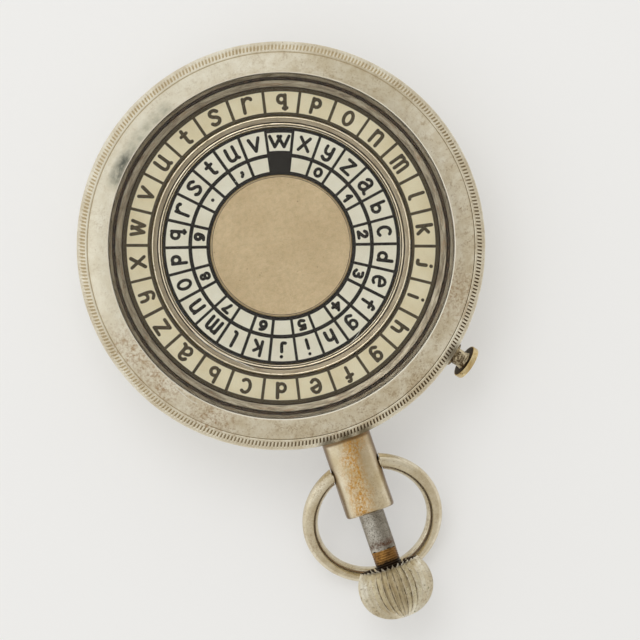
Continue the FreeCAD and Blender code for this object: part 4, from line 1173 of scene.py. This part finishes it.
def make_button():
    """Neck and head of the side button. The head sits a little askew on its neck."""
    tip, end, r = button_reach("side_button")
    shoulder = button_reach("side_button", BUTTON_PIN_R * 1.5)[0]
    face = end - BUTTON_HEAD_T
    outline = [(0, tip), (BUTTON_PIN_R, tip), (BUTTON_PIN_R, shoulder),
               *((BUTTON_NECK_R, at) for at in (shoulder, *NECK_RINGS)), (BUTTON_NECK_R - 0.03, face - 0.5),
               (BUTTON_NECK_R + 0.02, face - 0.15), (BUTTON_NECK_R + 0.12, face), (1.5, face),
               (r - 0.12, face + 0.01), (r - 0.04, face + 0.03), (r, face + 0.1), (r, face + 0.3),
               (r, end - 0.14), (r - 0.05, end - 0.04), (r - 0.16, end), (0, end)]
    segments = 96
    verts, faces = lathe(outline, segments, closed=False)
    # The head's underside takes the dark tarnish, which also paints its shade.
    picks = [tint for tint in [0] * 8 + [1] * 2 + [2] * 7 for _ in range(segments)]
    middle = Matrix.Translation((0, 0, face + BUTTON_HEAD_T / 2))
    askew = middle @ Matrix.Rotation(radians(-BUTTON_TILT), 4, "X") @ middle.inverted()
    verts = [tuple(askew @ Vector(v)) if v[2] >= face - 1e-6 else v for v in verts]
    return piece("push_button", moved(verts, button_matrix()), faces,
                 [mottled_shaft, tarnish_and_shade, polished_brass], picks, 40)


def make_spring(node, matrix, reach, wire_r, turns):
    """Round wire spring between its seat and a body that presses it."""
    start, end, outer_r = reach
    mean_r = outer_r - wire_r
    steps, ring = 20, 8
    count = round(turns * steps)
    verts = []
    for i in range(count + 1):
        turn = tau * i / steps
        z = blended(start + wire_r, end - wire_r, i / count)
        for k in range(ring):
            bend = tau * k / ring
            r = mean_r + wire_r * cos(bend)
            verts.append((r * cos(turn), r * sin(turn), z + wire_r * sin(bend)))
    faces = tube_faces(0, count + 1, ring)
    spring = piece(node + "_coil", moved(verts, matrix), faces, [SPRING_STEEL], sharp=60)
    first, last = (matrix @ Vector((0, 0, at)) * MM for at in (start - wire_r, end + wire_r))
    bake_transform(spring)
    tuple(first)
    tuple(last)
    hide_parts(node)


def make_scratches():
    """Hairline scratches on the glass."""
    rng = random.Random(19)
    top = high("crystal").z
    flat_r = high("crystal").x - 0.8
    routes = [[(-18.6, -12.6), (-17.6, -14.4), (-16.6, -15.6)],
              [(-14.2, -6.8), (-12.4, -9.6), (-10.2, -11.9), (-8.2, -13.8)],
              [(-9.6, -2.6), (-9.2, -3.4)], [(4.4, -14.6), (5.8, -13.6), (7.0, -12.2)],
              [(-3.0, 9.6), (-2.2, 9.8)]]
    verts, faces = [], []
    for route in routes:
        line = smooth(route, 8)
        faces += tube_faces(len(verts), len(line), 4)
        for i, (x, y) in enumerate(line):
            ahead = Vector(line[min(i + 1, len(line) - 1)]) - Vector(line[max(i - 1, 0)])
            across = Vector((-ahead.y, ahead.x)).normalized()
            width = rng.uniform(0.02, 0.05) * (0.3 if i in (0, len(line) - 1) else 1)
            z = top - GLASS_RISE * (x * x + y * y) / flat_r ** 2 + 0.001
            for side, rise in ((-width, 0), (0, 0.006), (width, 0), (0, -0.004)):
                verts.append((x + across.x * side, y + across.y * side, z + rise))
    return piece("glass_scratches", verts, faces, [glass_scratch], sharp=60)


# ---- put together
place(make_bezel(), "case", "nickel", "bezel")
place(make_crystal(), "case", "glass", "crystal")
place(make_scratches(), "case", "glass")
place(make_wall(), "case", "dull_metal", "rehaut_ring")
place(make_divider(), "case", "dull_metal", "divider_ring")
make_outer_ring()
make_inner_ring()
place(make_centre_disc(), "letter_disc", "disc_brass", "centre_disc")
place(make_pendant(), "case", "nickel", "pendant_tube")
place(make_bow(), "bow_ring", "nickel", "bow")
place(make_stem(), "plunger", "steel", "stem")
place(make_stem_end(), "plunger", "thread_brass", "stem_end")
place(make_crown(), "plunger", "nickel", "crown")
place(make_button(), "button", "button_metal", "side_button")
make_spring("return_spring", pendant_matrix(), pendant_reach("return_spring"),
            RETURN_WIRE_R, RETURN_TURNS)
make_spring("button_spring", button_matrix(), button_reach("button_spring"),
            BUTTON_WIRE_R, BUTTON_TURNS)

FINISHED_NODES = (
    (CASE_NICKEL, "case_band back_cover"), (groove_floor, "button_bushing"), (wall_metal, "ring_seat"),
    (tarnish_and_shade, "ring_gear"),
    (SPRING_STEEL, "return_spring pawl_spring lever_spring jumper_spring button_spring"),
    (MOVEMENT_STEEL, "step_wheel step_lever release_lever pawl pawl_pin plate_screws bearing_screws "
                     "foot_screws arbor_screw centre_arbor lever_studs winding_pinion button_collar"))
NODE_FINISH = {node: finish for finish, nodes in FINISHED_NODES for node in nodes.split()}
for node, obj in frame["nodes"].items():
    obj.data.materials.clear()
    obj.data.materials.append(NODE_FINISH.get(node, MOVEMENT_BRASS))


# ---- stage, light and camera
IMAGE_RIGHT = Vector((cos(radians(ROLL)), -sin(radians(ROLL)), 0))
IMAGE_UP = Vector((sin(radians(ROLL)), cos(radians(ROLL)), 0))
UP = Vector((0, 0, 1))


def floor_material():
    """White sheet that glows a little to the eye and in reflections, so its shadows stay pale."""
    f = Finish("floor")
    f.ground(f.noise(0.01, 2, 0.5), (240, 240, 240), (237, 237, 237))
    f.done(roughness=0.9, specular_ior_level=0.1)
    rays = f.rays()
    seen = f.calc("MAXIMUM", rays["Is Camera Ray"], rays["Is Glossy Ray"])
    seen = f.calc("MAXIMUM", seen, rays["Is Transmission Ray"])
    return f.shared(f.times(seen, FLOOR_GLOW), f.add("Emission", {"Color": srgb(248, 248, 247)}))


def make_floor():
    half = FLOOR_HALF
    verts = [(-half, -half, 0), (half, -half, 0), (half, half, 0), (-half, half, 0)]
    floor = piece("floor", verts, [(0, 1, 2, 3)], [floor_material()])


def area_light(name, right, up, height, size, power):
    """Soft lamp aimed at the middle of the dial, from right, up and height of it."""
    lamp = bpy.data.lights.new(name, "AREA")
    lamp.shape = "DISK"
    lamp.size = size * MM
    lamp.energy = power
    obj = bpy.data.objects.new(name, lamp)
    obj.location = (IMAGE_RIGHT * right + IMAGE_UP * up + UP * height) * MM
    obj.rotation_mode = "QUATERNION"
    obj.rotation_quaternion = (-obj.location).to_track_quat("-Z", "Y")
    obj.visible_glossy = False
    bpy.context.collection.objects.link(obj)


def make_world():
    """Pale studio surroundings: brighter to the image's upper left, warmer and darker opposite, with
    a gap and a window."""
    world = bpy.data.worlds.new("studio")
    bpy.context.scene.world = world
    world.use_nodes = True
    tree = Tree(world.node_tree)
    coords = tree.add("TexCoord", {}, "Generated")
    sky = SKY_DARK
    for towards, start, full, tone in (
            (IMAGE_UP * 0.56 - IMAGE_RIGHT * 0.5 + UP * 0.35, -0.55, 0.9, SKY_BRIGHT),
            (IMAGE_UP * 0.19 + IMAGE_RIGHT * 0.56 + UP * 0.81, 0.84, 0.975, SKY_GAP),
            (UP * 0.2 - IMAGE_UP * 0.1 - IMAGE_RIGHT * 0.95, 0.9, 0.98, SKY_LOW)):
        ends = {0: coords, 1: towards.normalized()}
        facing = tree.add("VectorMath", ends, "Value", operation="DOT_PRODUCT")
        sky = tree.mix(tree.span(facing, start, full, curve="SMOOTHSTEP"), sky, tone)
    seen = tree.mix(tree.rays()["Is Camera Ray"], sky, SKY_LIGHT)
    tree.feed(tree.nodes["Background"].inputs["Color"], seen)


def make_camera():
    aim = Vector((*VIEW_AIM, FACE_Z))
    lean = VIEW_HEIGHT * tan(radians(VIEW_LEAN))
    spot = Vector((0, 0, FACE_Z + VIEW_HEIGHT)) - IMAGE_RIGHT * lean
    camera = bpy.data.cameras.new("camera")
    camera.sensor_width = SENSOR
    camera.lens = SENSOR * (spot - aim).length / VIEW_WIDTH
    camera.clip_start = 0.01
    camera.clip_end = 10.0
    obj = bpy.data.objects.new("camera", camera)
    ahead = (aim - spot).normalized()
    right = (IMAGE_RIGHT - ahead * IMAGE_RIGHT.dot(ahead)).normalized()
    turn = Matrix((right, right.cross(ahead), -ahead)).transposed()
    obj.matrix_world = Matrix.Translation(spot * MM) @ turn.to_4x4()
    bpy.context.collection.objects.link(obj)
    bpy.context.scene.camera = obj


make_floor()
make_world()
area_light("key", -150, 300, 560, 420, 0.85)
area_light("fill", -260, -160, 600, 620, 0.35)
make_camera()
bpy.context.scene.view_settings.view_transform = "Standard"
